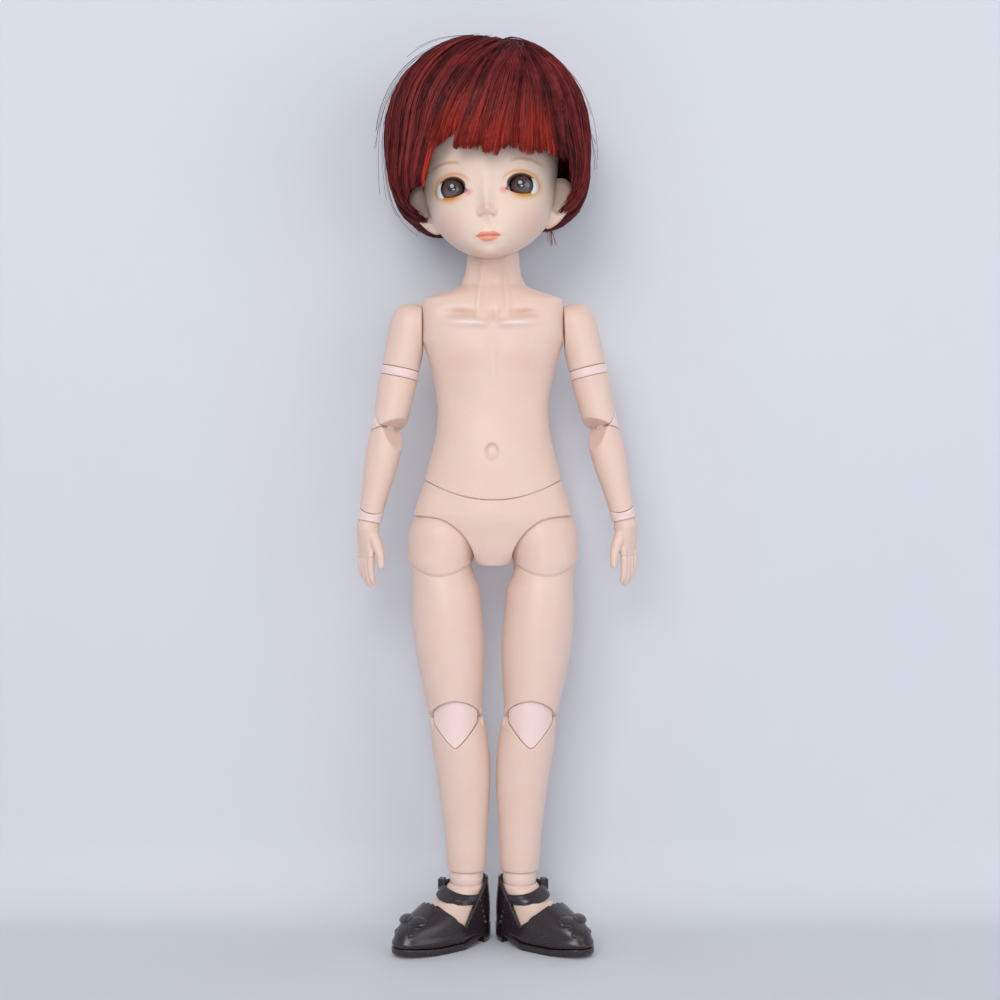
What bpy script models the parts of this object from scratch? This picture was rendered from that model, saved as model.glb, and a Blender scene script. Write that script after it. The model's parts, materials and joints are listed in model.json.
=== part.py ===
"""A 300 mm ball jointed doll with a wig and strap shoes.

It stands on its soles on z = 0 and faces -Y, arms a little out from its sides. Its own left is
+X. Metres, +Z up. Each piece is one named object, with its origin on the joint that carries it.
"""

import math
from collections import namedtuple

import bmesh
import bpy
from mathutils import Matrix, Vector

# Clearance between pieces, wall of the moulded shells, and how far a cutter runs past.
GAP = 0.0003
WALL = 0.0022
OVERRUN = 0.010

# Heights of the joints, added up from the floor.
ANKLE_HEIGHT = 0.0205
SHIN_LENGTH = 0.0506
KNEE_SPACING = 0.0065
THIGH_LENGTH = 0.0554
HIP_TO_WAIST = 0.0420
WAIST_TO_SHOULDER = 0.0285
SHOULDER_TO_NECK = 0.0275
KNEE_LOW = ANKLE_HEIGHT + SHIN_LENGTH
KNEE_HIGH = KNEE_LOW + KNEE_SPACING
HIP_HEIGHT = KNEE_HIGH + THIGH_LENGTH
WAIST_HEIGHT = HIP_HEIGHT + HIP_TO_WAIST
SHOULDER_HEIGHT = WAIST_HEIGHT + WAIST_TO_SHOULDER
NECK_HEIGHT = SHOULDER_HEIGHT + SHOULDER_TO_NECK

# How far out from the midline the leg joints are.
HIP_OUT = 0.0163
KNEE_OUT = 0.0123
ANKLE_OUT = 0.0088

# Thigh: a ball at the top, then rows of drop, outward shift, half width, front and back.
HIP_BALL_RADIUS = 0.0118
THIGH_HALF_WIDTH = 0.0118
THIGH_HALF_DEPTH = 0.0124
THIGH_FOOT = 0.0032
THIGH_ROW_SHARES = [
    (0.125, 0.10, 0.90, 0.91, 0.98),
    (0.205, 0.03, 0.89, 0.89, 0.96),
    (0.265, -0.04, 0.94, 0.95, 1.00),
    (0.40, -0.08, 0.98, 1.01, 1.01),
    (0.60, -0.16, 0.985, 0.99, 0.97),
    (0.80, -0.24, 0.88, 0.91, 0.88),
    (0.95, -0.30, 0.775, 0.83, 0.81),
    (1.00, -0.33, 0.76, 0.80, 0.79),
]
BALL_RING_DEGREES = [0, 22, 45, 64, 82]

# Shin: rows of height above the ankle as a share of its length.
SHIN_HALF_WIDTH = 0.0094
SHIN_HALF_DEPTH = 0.0108
SHIN_FOOT = 0.0027
SHIN_HEAD = 0.0036
SHIN_ROW_SHARES = [
    (0.00, 0.00, 0.670, 0.575, 0.585),
    (0.06, 0.00, 0.700, 0.595, 0.615),
    (0.24, 0.02, 0.755, 0.640, 0.705),
    (0.44, 0.06, 0.862, 0.720, 0.905),
    (0.64, 0.115, 0.957, 0.815, 1.035),
    (0.80, 0.225, 1.000, 0.890, 1.000),
    (0.93, 0.305, 0.965, 0.900, 0.890),
    (1.00, 0.360, 0.915, 0.880, 0.840),
]

# The double hinges: a joint piece on two pins between two forked limb ends. Its cap fills an
# opening in the limb's front, an arch above the upper pin and a notch below the lower one.
Hinge = namedtuple(
    "Hinge", "spacing half_width radius edge tab pin reach arch notch cap_width cap_front face back"
)
KNEE = Hinge(
    spacing=KNEE_SPACING,
    half_width=0.0069,
    radius=0.0083,
    edge=0.0044,
    tab=0.0031,
    pin=0.0012,
    reach=0.0078,
    arch=0.0024,
    notch=0.0066,
    cap_width=0.0083,
    cap_front=0.0092,
    face=0.0042,
    back=0.0068,
)
ELBOW = Hinge(
    spacing=0.0050,
    half_width=0.0035,
    radius=0.0044,
    edge=0.0033,
    tab=0.00235,
    pin=0.0008,
    reach=0.0047,
    arch=0.0,
    notch=0.0,
    cap_width=0.0056,
    cap_front=0.0057,
    face=0.0,
    back=0.0,
)
ARCH_POWER = 0.7
NOTCH_POWER = 1.3
CAP_STEPS = 8

# How far each elbow end leans away from its tab, by limb (1 upper, -1 lower) and face (-1 front).
ELBOW_LEAN_DEGREES = {(1, -1): 55, (-1, -1): 31, (1, 1): 42, (-1, 1): 58}

# Ankle: a ball with a stem that plugs into the shin.
ANKLE_BALL_RADIUS = 0.0056
ANKLE_STEM_RADIUS = 0.0018
ANKLE_STEM_LENGTH = 0.0130
FOOT_TURNOUT_DEGREES = 46

# Foot, from the sole up. Rows of height, forward shift, half width, front and back.
FOOT_HEIGHT = 0.0180
FOOT_HALF_WIDTH = 0.0075
FOOT_TOE_REACH = 0.0285
FOOT_HEEL_REACH = 0.0069
HEEL_WIDTH_SHARE = 0.56
TOE_POWER = 2.4
FOOT_ROW_SHARES = [
    (0.00, 0.94, 0.97, 0.94),
    (0.30, 1.00, 1.00, 1.00),
    (0.45, 0.98, 0.92, 0.98),
    (0.60, 0.92, 0.70, 0.95),
    (0.75, 0.86, 0.46, 0.88),
    (0.88, 0.82, 0.29, 0.80),
    (1.00, 0.80, 0.22, 0.76),
]

# Shoe: its wall, its sole with a block heel, and its strap.
SHOE_WALL = 0.0012
SHOE_TOP_HEIGHT = 0.0210
SHOE_SIDE_HEIGHT = 0.0112
SHOE_THROAT_HEIGHT = 0.0118
SHOE_THROAT_FORWARD = 0.0125
SHOE_COUNTER_BACK = 0.0035
SOLE_TOP_TOE = 0.0030
SOLE_TOP_BALL = 0.0022
SOLE_TOP_HEEL = 0.0052
SOLE_THICKNESS = 0.0020
SOLE_EDGE = 0.0007
TOE_SPRING = 0.0010
HEEL_FRONT = 0.0010
ARCH_FORWARD = 0.0085
STRAP_HEIGHT = 0.0162
STRAP_WIDTH = 0.0030
STRAP_THICKNESS = 0.0010
BUTTON_RADIUS = 0.0018
BUTTON_DEPTH = 0.0014
BOW_HALF_WIDTH = 0.0052
BOW_HALF_LENGTH = 0.0024
BOW_HALF_HEIGHT = 0.0013
BOW_FORWARD = 0.0195

# Pelvis: half sizes at the leg line, and the outline of a leg opening seen from the front.
PELVIS_HALF_WIDTH = 0.0264
PELVIS_FRONT = 0.0136
PELVIS_BACK = 0.0148
PELVIS_POWER = 2.4
CROTCH_DROP = 0.0088
CROTCH_HALF_WIDTH = 0.0052
LEG_LINE_RISE = 0.0078
PELVIS_ROW_SHARES = [
    (0.00, 1.00, 1.00, 1.00),
    (0.41, 0.76, 0.90, 0.97),
    (0.76, 0.42, 0.80, 0.88),
    (1.00, 0.20, 0.64, 0.71),
]
PELVIS_RISE_SHARES = (0.33, 0.66)
LEG_OPENING_SHARES = [
    (1.35, 1.00),
    (1.00, 1.00),
    (0.57, 0.72),
    (0.38, 0.22),
    (0.26, -0.38),
    (0.205, -1.00),
    (0.20, -2.20),
    (1.35, -2.20),
]

# Waist: the torso ends in a dome that turns in a bowl of the pelvis, on a flanged peg.
WAIST_BALL_RADIUS = 0.0320
DOME_SHARES = [1.0, 0.70, 0.40, 0.04]
SEAM_HALF_WIDTH = 0.0226
SEAM_FRONT = 0.0131
SEAM_BACK = 0.0134
WAIST_PEG_RADIUS = 0.0030
WAIST_PEG_DEPTH = 0.0060
WAIST_FLANGE_RADIUS = 0.0055
WAIST_FLANGE_HEIGHT = 0.0020

# Torso: half sizes at the chest, and rows of height above the waist centre.
SHOULDER_PLANE = 0.0232
CHEST_FRONT = 0.0128
CHEST_BACK = 0.0126
CHEST_TO_NECK = 0.0530
TORSO_ROW_SHARES = [
    (-0.36, 0.945, 0.99, 1.00, 2.2),
    (-0.20, 0.845, 0.93, 0.92, 2.2),
    (0.00, 0.790, 0.87, 0.86, 2.2),
    (0.20, 0.850, 0.92, 0.90, 2.3),
    (0.40, 0.980, 1.00, 0.98, 2.6),
    (0.52, 1.080, 1.00, 1.00, 3.0),
    (0.62, 1.120, 0.94, 0.98, 3.2),
    (0.685, 1.060, 0.84, 0.90, 3.0),
    (0.73, 0.800, 0.74, 0.80, 2.6),
    (0.775, 0.520, 0.60, 0.72, 2.2),
    (0.83, 0.425, 0.52, 0.72, 2.0),
    (0.91, 0.385, 0.48, 0.74, 2.0),
    (1.00, 0.365, 0.48, 0.76, 2.0),
]
CAVITY_TOP_SHARE = 0.63

# Neck and head joint: a ball on a stem.
NECK_BACK = 0.0020
NECK_BALL_RADIUS = 0.0062
NECK_STEM_RADIUS = 0.0025
NECK_STEM_LENGTH = 0.0240
NECK_CLEARANCE_RADIUS = 0.0114

# Screws that hold the shells together from the back.
SCREW_RADIUS = 0.0011
SCREW_HEAD_RADIUS = 0.0021
SCREW_HEAD_HEIGHT = 0.0014
BOSS_RADIUS = 0.0032
SCREW_REACH = 0.0060
UPPER_SCREW_RISE = 0.0200
LOWER_SCREW_DROP = 0.0080
PELVIS_SCREW_DROP = 0.0052
SCREW_INSET = 0.0008

# Shoulder: a peg with a lug, on which the cap of the arm lifts like a lid.
SHOULDER_PEG_RADIUS = 0.0030
SHOULDER_FLANGE_RADIUS = 0.0039
SHOULDER_FLANGE_WIDTH = 0.0020
LIFT_PIN_OUT = 0.0024
LIFT_PIN_RISE = 0.0051
LIFT_PIN_RADIUS = 0.0008
LIFT_PIN_REACH = 0.0034
LUG_RADIUS = 0.0017
LUG_THICKNESS = 0.0030
LUG_SLOT_OUT = 0.0026
LUG_SLOT_DROP = 0.0086

# Hip: a peg with a cross bar that sits inside the ball of the thigh.
HIP_PEG_RADIUS = 0.0022
HIP_PEG_END = 0.0009
HIP_BAR_RADIUS = 0.0012
HIP_BAR_REACH = 0.0068
HIP_SLOT_OUT = 0.0030

# Arm, along a line that leans outward. Drops are measured from the lifting pin.
ARM_TILT_DEGREES = 11.6
LEFT_ARM_LIFT_DEGREES = 2.0
ARM_LINE_OUT = 0.0011
ARM_HALF_WIDTH = 0.0063
ARM_TO_RING = 0.0201
RING_HEIGHT = 0.0026
RING_TO_ELBOW = 0.0147
ELBOW_TO_WRIST = 0.0252
WRIST_HEIGHT = 0.0040
HAND_LENGTH = 0.0212
ELBOW_TURN_DEGREES = 125
RING_PEG_RADIUS = 0.0024
RING_PEG_LENGTH = 0.0050
SHOULDER_TOP = 0.0020
SHOULDER_ROW_SHARES = [
    (0.00, 0.25, 0.36, 0.34),
    (0.035, 0.25, 0.62, 0.60),
    (0.10, 0.30, 0.90, 0.88),
    (0.20, 0.40, 1.06, 1.08),
    (0.35, 0.60, 1.10, 1.16),
    (0.55, 0.85, 1.06, 1.12),
    (0.78, 1.00, 1.00, 1.04),
    (1.00, 1.00, 1.00, 1.00),
]
LOWER_ARM_ROW_SHARES = [
    (0.00, 1.00, 1.00),
    (0.30, 0.99, 1.00),
    (0.65, 0.94, 0.97),
    (1.00, 0.90, 0.94),
    (1.22, 0.86, 0.90),
]
FOREARM_HALF_WIDTH = 0.0057
FOREARM_HEAD = 0.0027
FOREARM_ROW_SHARES = [
    (-0.11, 0.88, 0.90),
    (0.04, 0.98, 1.00),
    (0.18, 1.00, 1.02),
    (0.45, 0.94, 0.96),
    (0.75, 0.78, 0.80),
    (1.00, 0.70, 0.72),
]
WRIST_RADIUS = 0.0043
WRIST_STEM_RADIUS = 0.0017
WRIST_STEM_LENGTH = 0.0060
WRIST_TONGUE_THICKNESS = 0.0024
WRIST_TONGUE_RADIUS = 0.0020
CROWN_SHARE = 0.41

# Hand, thumb forward and palm to the thigh.
PALM_LENGTH = 0.0098
PALM_HALF_WIDTH = 0.0042
PALM_HALF_THICKNESS = 0.0024
FINGER_LENGTH = 0.0106
FINGER_RADIUS = 0.00115
FINGER_TIP_RADIUS = 0.00085
THUMB_LENGTH = 0.0098
THUMB_RADIUS = 0.0014
FINGER_COUNT = 4
FINGER_PITCH = 0.0021
FINGER_LENGTH_SHARES = [0.90, 1.00, 0.96, 0.80]
FINGER_CLOSE_SHARE = 0.9
THUMB_DROP_SHARE = 0.35
THUMB_ROOT_SHARE = 0.7
THUMB_TIP_SHARES = (0.5, 1.35)
HAND_HEEL_SHARE = 0.86
PALM_ROW_SHARES = [
    (1.00, 0.78, 0.94, 0.94),
    (0.80, 0.97, 1.00, 1.00),
    (0.45, 1.10, 1.00, 0.95),
    (0.00, 1.30, 0.85, 0.85),
]

# Head: rows above the neck ball, with shares of its height, half width, front and back.
HEAD_HEIGHT = 0.0690
HEAD_DROP = 0.0062
HEAD_HALF_WIDTH = 0.0234
HEAD_FRONT = 0.0240
HEAD_BACK = 0.0268
HEAD_ROW_SHARES = [
    (0.000, 0.130, -0.55, 0.76, -0.28),
    (0.014, 0.260, -0.45, 0.81, -0.10),
    (0.050, 0.450, -0.28, 0.87, 0.12),
    (0.100, 0.620, -0.12, 0.92, 0.34),
    (0.160, 0.765, 0.00, 0.955, 0.60),
    (0.250, 0.872, 0.00, 0.965, 0.82),
    (0.370, 0.940, 0.00, 0.980, 0.94),
    (0.500, 0.990, 0.00, 1.000, 1.00),
    (0.640, 1.000, 0.00, 0.995, 1.01),
    (0.780, 0.915, 0.00, 0.910, 0.93),
    (0.890, 0.730, 0.00, 0.720, 0.76),
    (0.960, 0.460, 0.00, 0.460, 0.50),
    (0.997, 0.120, 0.00, 0.120, 0.14),
]
HEAD_POWER = 2.4
HEAD_YAW_DEGREES = -3.5
HEAD_ROLL_DEGREES = -2.5
HEAD_SEAM_BACK = 0.0050
EYE_OUT = 0.0110
EYE_RISE = 0.0152
EYE_FORWARD = 0.0134
EYE_RADIUS = 0.0056
EYE_OPENING_HALF_WIDTH = 0.0046
EYE_OPENING_HALF_HEIGHT = 0.0038
EYE_BACK = 0.0030
NOSE_RISE = 0.0082
NOSE_HALF_WIDTH = 0.0021
NOSE_HALF_HEIGHT = 0.0036
NOSE_FORWARD = 0.0228
NOSE_HALF_DEPTH = 0.0034
MOUTH_RISE = 0.0004
MOUTH_HALF_WIDTH = 0.0044
MOUTH_HALF_HEIGHT = 0.0019
MOUTH_FORWARD = 0.0214
MOUTH_HALF_DEPTH = 0.0016
EAR_OUT = 0.0222
EAR_BACK = 0.0012
EAR_RISE = 0.0092
EAR_HALF_WIDTH = 0.0044
EAR_HALF_DEPTH = 0.0022
EAR_HALF_HEIGHT = 0.0066

# Wig: rows above the neck ball, its fringe line and the opening for the face.
WIG_HEIGHT = 0.0672
WIG_DROP = 0.0015
WIG_HALF_WIDTH = 0.0350
WIG_FRONT = 0.0318
WIG_BACK = 0.0328
WIG_ROW_SHARES = [
    (0.00, 0.66, 0.70, 0.66),
    (0.07, 0.84, 0.86, 0.78),
    (0.20, 0.945, 0.96, 0.90),
    (0.36, 0.985, 1.00, 0.97),
    (0.52, 1.00, 1.00, 1.00),
    (0.66, 0.965, 0.96, 0.97),
    (0.80, 0.84, 0.83, 0.86),
    (0.91, 0.60, 0.60, 0.64),
    (0.97, 0.36, 0.36, 0.40),
    (1.00, 0.14, 0.14, 0.16),
]
WIG_POWER = 2.1
WIG_GAP = 0.0004
FRINGE_RISE = 0.0262
FACE_OPENING_HALF_WIDTH = 0.0212
EAR_OPENING_HALF_WIDTH = 0.0274
EAR_OPENING_RISE = 0.0165
EAR_OPENING_BACK = 0.0040

# Facets round a piece.
LIMB_SIDES = 20
BODY_SIDES = 28
HEAD_SIDES = 28
INNER_SIDES = 14
ROUND_SIDES = 12
SMALL_SIDES = 8

IDENTITY = Matrix.Identity(4)
MIRROR = Matrix.Diagonal((-1, 1, 1, 1))
SIDES = {"left": 1, "right": -1}


def clear_scene():
    for obj in list(bpy.data.objects):
        bpy.data.objects.remove(obj, do_unlink=True)


def make_material(name, color, roughness, metallic=0.0):
    material = bpy.data.materials.new(name)
    material.use_nodes = True
    shader = material.node_tree.nodes["Principled BSDF"]
    shader.inputs["Base Color"].default_value = (*color, 1.0)
    shader.inputs["Roughness"].default_value = roughness
    shader.inputs["Metallic"].default_value = metallic
    material.diffuse_color = (*color, 1.0)
    return material


def make_materials():
    return {
        "body_skin": make_material("body_skin", (0.83, 0.58, 0.46), 0.42),
        "face_skin": make_material("face_skin", (0.84, 0.66, 0.57), 0.45),
        "joint_plastic": make_material("joint_plastic", (0.86, 0.64, 0.60), 0.40),
        "inner_plastic": make_material("inner_plastic", (0.75, 0.70, 0.66), 0.50),
        "eye_plastic": make_material("eye_plastic", (0.12, 0.08, 0.07), 0.08),
        "hair_fibre": make_material("hair_fibre", (0.16, 0.01, 0.015), 0.45),
        "shoe_vinyl": make_material("shoe_vinyl", (0.014, 0.008, 0.009), 0.28),
        "steel": make_material("steel", (0.60, 0.58, 0.55), 0.30, 1.0),
    }


class Piece:
    """One object, with cuts and joins that stay on it as Boolean modifiers."""

    def __init__(self, name, shape, material, frame=IDENTITY, side=1):
        self.name = name
        self.frame = frame
        self.side = side
        self.helpers = 0
        self.obj = self.make_object(name, shape, frame)
        self.obj.data.materials.append(material)
        self.obj.data.shade_smooth()
        self.obj.data.set_sharp_from_angle(angle=math.radians(40))

    def make_object(self, name, shape, frame):
        points, faces = shape
        mesh = bpy.data.meshes.new(name)
        mesh.from_pydata([(self.side * p[0], p[1], p[2]) for p in points], [], faces)
        form = bmesh.new()
        form.from_mesh(mesh)
        bmesh.ops.recalc_face_normals(form, faces=form.faces)
        form.to_mesh(mesh)
        form.free()
        obj = bpy.data.objects.new(name, mesh)
        obj.matrix_world = frame if self.side > 0 else MIRROR @ frame @ MIRROR
        bpy.context.scene.collection.objects.link(obj)
        return obj

    def combine(self, operation, shape, frame):
        self.helpers += 1
        helper = self.make_object(f"{self.name}_helper_{self.helpers}", shape, frame or self.frame)
        helper.hide_render = True
        helper.display_type = "WIRE"
        modifier = self.obj.modifiers.new(helper.name, "BOOLEAN")
        modifier.operation = operation
        modifier.object = helper
        return self

    def cut(self, shape, frame=None):
        return self.combine("DIFFERENCE", shape, frame)

    def join(self, shape, frame=None):
        return self.combine("UNION", shape, frame)

    def keep(self, shape, frame=None):
        return self.combine("INTERSECT", shape, frame)


def at(x=0.0, y=0.0, z=0.0):
    return Matrix.Translation((x, y, z))


def turn(degrees, axis):
    return Matrix.Rotation(math.radians(degrees), 4, axis)


def power_of(value, exponent):
    return math.copysign(abs(value) ** exponent, value)


def ring(z, half_width, front, back, x=0.0, y=0.0, power=2.0, sides=LIMB_SIDES):
    """A level outline whose front and back halves can have their own depth."""
    points = []
    for step in range(sides):
        angle = 2 * math.pi * (step + 0.5) / sides
        across = power_of(math.cos(angle), 2 / power)
        along = power_of(math.sin(angle), 2 / power)
        depth = back if along > 0 else front
        points.append(Vector((x + half_width * across, y + depth * along, z)))
    return points


def ring_on_ball(outline, share, centre_height, radius):
    """The outline drawn in by a share and dropped onto the underside of a ball."""
    points = []
    for point in outline:
        x, y = point.x * share, point.y * share
        points.append(Vector((x, y, centre_height - math.sqrt(radius**2 - x**2 - y**2))))
    return points


def between(first, second, share):
    return [a.lerp(b, share) for a, b in zip(first, second)]


def skin(rings):
    """Closed skin over rings of the same count, with a flat cap at each end."""
    count = len(rings[0])
    points = [point for outline in rings for point in outline]
    faces = [list(range(count))[::-1]]
    for row in range(len(rings) - 1):
        low = row * count
        high = low + count
        for step in range(count):
            after = (step + 1) % count
            faces.append([low + step, low + after, high + after, high + step])
    last = (len(rings) - 1) * count
    faces.append([last + step for step in range(count)])
    return points, faces


def rod(start, end, radius, end_radius=None, sides=ROUND_SIDES):
    start, end = Vector(start), Vector(end)
    lean = (end - start).to_track_quat("Z", "Y").to_matrix()
    rings = []
    for centre, size in ((start, radius), (end, radius if end_radius is None else end_radius)):
        rings.append([centre + lean @ point for point in ring(0, size, size, size, sides=sides)])
    return skin(rings)


def turned(profile, axis_point=(0, 0, 0), axis="Z", sides=ROUND_SIDES):
    """A profile of (place along the axis, radius) turned round the axis."""
    rings = [ring(place, radius, radius, radius, sides=sides) for place, radius in profile]
    points, faces = skin(rings)
    if axis == "X":
        points = [Vector((p.z, p.x, p.y)) for p in points]
    if axis == "Y":
        points = [Vector((p.y, p.z, p.x)) for p in points]
    return [point + Vector(axis_point) for point in points], faces


def ball(centre, radii, sides=ROUND_SIDES, rows=9):
    profile = []
    for row in range(rows):
        angle = math.pi * (row + 0.5) / rows
        profile.append((-math.cos(angle), math.sin(angle)))
    points, faces = turned(profile, sides=sides)
    stretch = 1 / math.cos(math.pi / 2 / rows)
    cx, cy, cz = centre
    rx, ry, rz = radii
    return [Vector((cx + rx * p.x, cy + ry * p.y, cz + rz * p.z * stretch)) for p in points], faces


def block(low, high):
    corners = [(low[0], high[0]), (low[1], high[1]), (low[2], high[2])]
    points = [Vector((x, y, z)) for z in corners[2] for y in corners[1] for x in corners[0]]
    faces = [[0, 2, 3, 1], [4, 5, 7, 6], [0, 1, 5, 4], [2, 6, 7, 3], [0, 4, 6, 2], [1, 3, 7, 5]]
    return points, faces


def prism(outline, axis, low, high):
    """An outline pushed along X, where it holds (y, z), or along Y, where it holds (x, z)."""
    rings = []
    for place in (low, high):
        if axis == "X":
            rings.append([Vector((place, a, b)) for a, b in outline])
        else:
            rings.append([Vector((a, place, b)) for a, b in outline])
    return skin(rings)


def barrel_profile(hinge, grow):
    """Places across a hinge barrel with the radius at each."""
    middle = hinge.radius + grow
    edge = hinge.edge + grow
    width = hinge.half_width + grow
    shares = (-1.0, -0.8, -0.45, 0.0, 0.45, 0.8, 1.0)
    return [(width * s, math.sqrt(middle**2 - s**2 * (middle**2 - edge**2))) for s in shares]


def barrel(hinge, height, grow=0.0, sides=LIMB_SIDES):
    return turned(barrel_profile(hinge, grow), (0, 0, height), "X", sides)


def double_barrel(hinge, low, high, sides=LIMB_SIDES):
    """Two barrels on parallel pins, run together."""
    rings = []
    for place, radius in barrel_profile(hinge, 0.0):
        outline = []
        for step in range(sides + 2):
            half = sides // 2 + 1
            angle = math.pi * (step % half) / (half - 1) + (math.pi if step >= half else 0)
            height = high if step < half else low
            outline.append(
                Vector((place, radius * math.cos(angle), height + radius * math.sin(angle)))
            )
        rings.append(outline)
    return skin(rings)


def limb_end_outline(hinge, height, up, far):
    """Side outline of all that is cut away below a limb's tab, or above it where up is -1."""
    back = hinge.back * (far - hinge.tab) / (hinge.radius - hinge.tab)
    step_in = hinge.face + GAP / 2
    outline = [(-far, -up * far), (-far, -up * hinge.tab), (-step_in, -up * hinge.tab)]
    outline.append((-step_in, -up * GAP))
    steps = 9
    for step in range(steps + 1):
        angle = -math.pi * (1 - step / steps)
        outline.append((hinge.tab * math.cos(angle), up * hinge.tab * math.sin(angle)))
    outline += [(far, up * back), (far, -up * far)]
    return [(y, height + z) for y, z in outline]


def leaning_end(hinge, height, up, face, tab, far):
    """The round tab of an elbow end from its lowest point to one face, then a straight run out."""
    lean = math.radians(ELBOW_LEAN_DEGREES[up, face])
    points = []
    for step in range(CAP_STEPS // 2 + 1):
        angle = lean * step / (CAP_STEPS // 2)
        points.append((face * tab * math.sin(angle), -up * tab * math.cos(angle)))
    across, rise = points[-1]
    points.append((face * far, rise + up * (far - abs(across)) * math.tan(lean)))
    return [(y, height + z) for y, z in points]


def elbow_end_outline(hinge, height, up, far):
    front = leaning_end(hinge, height, up, -1, hinge.tab, far)
    back = leaning_end(hinge, height, up, 1, hinge.tab, far)
    beyond = height - up * far
    return [(-far, beyond), *front[::-1], *back[1:], (far, beyond)]


def elbow_wedge_outline(hinge, far):
    """Side outline of the joint's outer wedge, between the two elbow ends."""
    tab = hinge.tab + GAP
    upper = leaning_end(hinge, 0.0, 1, -1, tab, far)[-2:]
    lower = leaning_end(hinge, -hinge.spacing, -1, -1, tab, far)[-2:]
    return [*upper, *lower[::-1]]


def cap_edge(hinge, grow):
    """Front outline of the joint's cap about the upper pin: arch, then notch."""
    width = hinge.cap_width + 2 * grow
    seam = -hinge.tab - GAP / 2
    top = hinge.arch + grow
    bottom = -hinge.spacing - hinge.notch - grow
    outline = []
    for step in range(CAP_STEPS):
        share = 1 - 2 * step / CAP_STEPS
        outline.append((width * share, seam + (top - seam) * (1 - share**2) ** ARCH_POWER))
    for step in range(CAP_STEPS):
        share = -1 + 2 * step / CAP_STEPS
        outline.append((width * share, seam + (bottom - seam) * (1 - abs(share) ** NOTCH_POWER)))
    return outline


def fork(piece, hinge, height, up, frame=None):
    """Cuts a limb's end to a fork round a hinge barrel, with a bore for the pin."""
    far = hinge.radius + OVERRUN
    width = hinge.half_width + OVERRUN
    if hinge is ELBOW:
        piece.cut(prism(elbow_end_outline(hinge, height, up, far), "X", -width, width), frame)
    else:
        piece.cut(prism(limb_end_outline(hinge, height, up, far), "X", -width, width), frame)
        upper_pin = height if up > 0 else height + hinge.spacing
        outline = [(x, z + upper_pin) for x, z in cap_edge(hinge, GAP)]
        piece.cut(prism(outline, "Y", -far, -hinge.face), frame)
    piece.cut(barrel(hinge, height, GAP), frame)
    reach = hinge.reach + GAP
    bore = hinge.pin + GAP
    piece.cut(rod((-reach, 0, height), (reach, 0, height), bore, sides=SMALL_SIDES), frame)
    return piece


def hinge_set(name, hinge, side_name, materials, frame, side):
    """The double barrel and its two pins, with the upper pin at the frame's origin."""
    low = -hinge.spacing
    tall = hinge.radius + hinge.spacing
    front = hinge.cap_front
    cap = [ring(z, hinge.cap_width, front, front) for z in (-tall - hinge.spacing, tall)]
    middle = Piece(
        f"{name}_joint_{side_name}", skin(cap), materials["joint_plastic"], frame, side
    )
    if hinge is ELBOW:
        width = front + OVERRUN
        middle.keep(prism(elbow_wedge_outline(hinge, width), "X", -width, width))
    else:
        middle.keep(prism(cap_edge(hinge, 0.0), "Y", -front - OVERRUN, -hinge.face - GAP))
    middle.join(double_barrel(hinge, low, 0.0))
    for place, height in (("upper", 0.0), ("lower", low)):
        bore = hinge.half_width + OVERRUN
        middle.cut(
            rod((-bore, 0, height), (bore, 0, height), hinge.pin + GAP, sides=SMALL_SIDES)
        )
        ends = (-hinge.reach, 0, 0), (hinge.reach, 0, 0)
        Piece(
            f"{name}_pin_{place}_{side_name}",
            rod(*ends, hinge.pin, sides=SMALL_SIDES),
            materials["steel"],
            frame @ at(z=height),
            side,
        )


def hip_frame():
    return at(HIP_OUT, 0, HIP_HEIGHT)


def knee_frame():
    return at(KNEE_OUT, 0, KNEE_HIGH)


def ankle_frame():
    return at(ANKLE_OUT, 0, ANKLE_HEIGHT)


def foot_frame():
    return ankle_frame() @ turn(FOOT_TURNOUT_DEGREES, "Z")


def make_hip_peg(side_name, side, materials):
    inner = -HIP_OUT + GAP
    peg = Piece(
        f"hip_peg_{side_name}",
        rod((inner, 0, 0), (HIP_PEG_END, 0, 0), HIP_PEG_RADIUS),
        materials["inner_plastic"],
        hip_frame(),
        side,
    )
    peg.join(rod((0, -HIP_BAR_REACH, 0), (0, HIP_BAR_REACH, 0), HIP_BAR_RADIUS))


def thigh_rings():
    length = THIGH_LENGTH + THIGH_FOOT
    rings = []
    for drop, out, width, front, back in THIGH_ROW_SHARES[::-1]:
        shift = THIGH_HALF_WIDTH * out
        half = THIGH_HALF_WIDTH * width
        rings.append(
            ring(-length * drop, half, THIGH_HALF_DEPTH * front, THIGH_HALF_DEPTH * back, shift)
        )
    for degrees in BALL_RING_DEGREES:
        radius = HIP_BALL_RADIUS * math.cos(math.radians(degrees))
        height = HIP_BALL_RADIUS * math.sin(math.radians(degrees))
        rings.append(ring(height, radius, radius, radius))
    return rings


def make_thigh(side_name, side, materials):
    thigh = Piece(
        f"thigh_{side_name}", skin(thigh_rings()), materials["body_skin"], hip_frame(), side
    )
    slot = HIP_PEG_RADIUS + GAP
    past = HIP_BALL_RADIUS + OVERRUN
    thigh.cut(block((-past, -slot, -slot), (HIP_SLOT_OUT, slot, past)))
    reach = HIP_BAR_REACH + GAP
    thigh.cut(rod((0, -reach, 0), (0, reach, 0), HIP_BAR_RADIUS + GAP))
    fork(thigh, KNEE, 0.0, 1, knee_frame())


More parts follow.
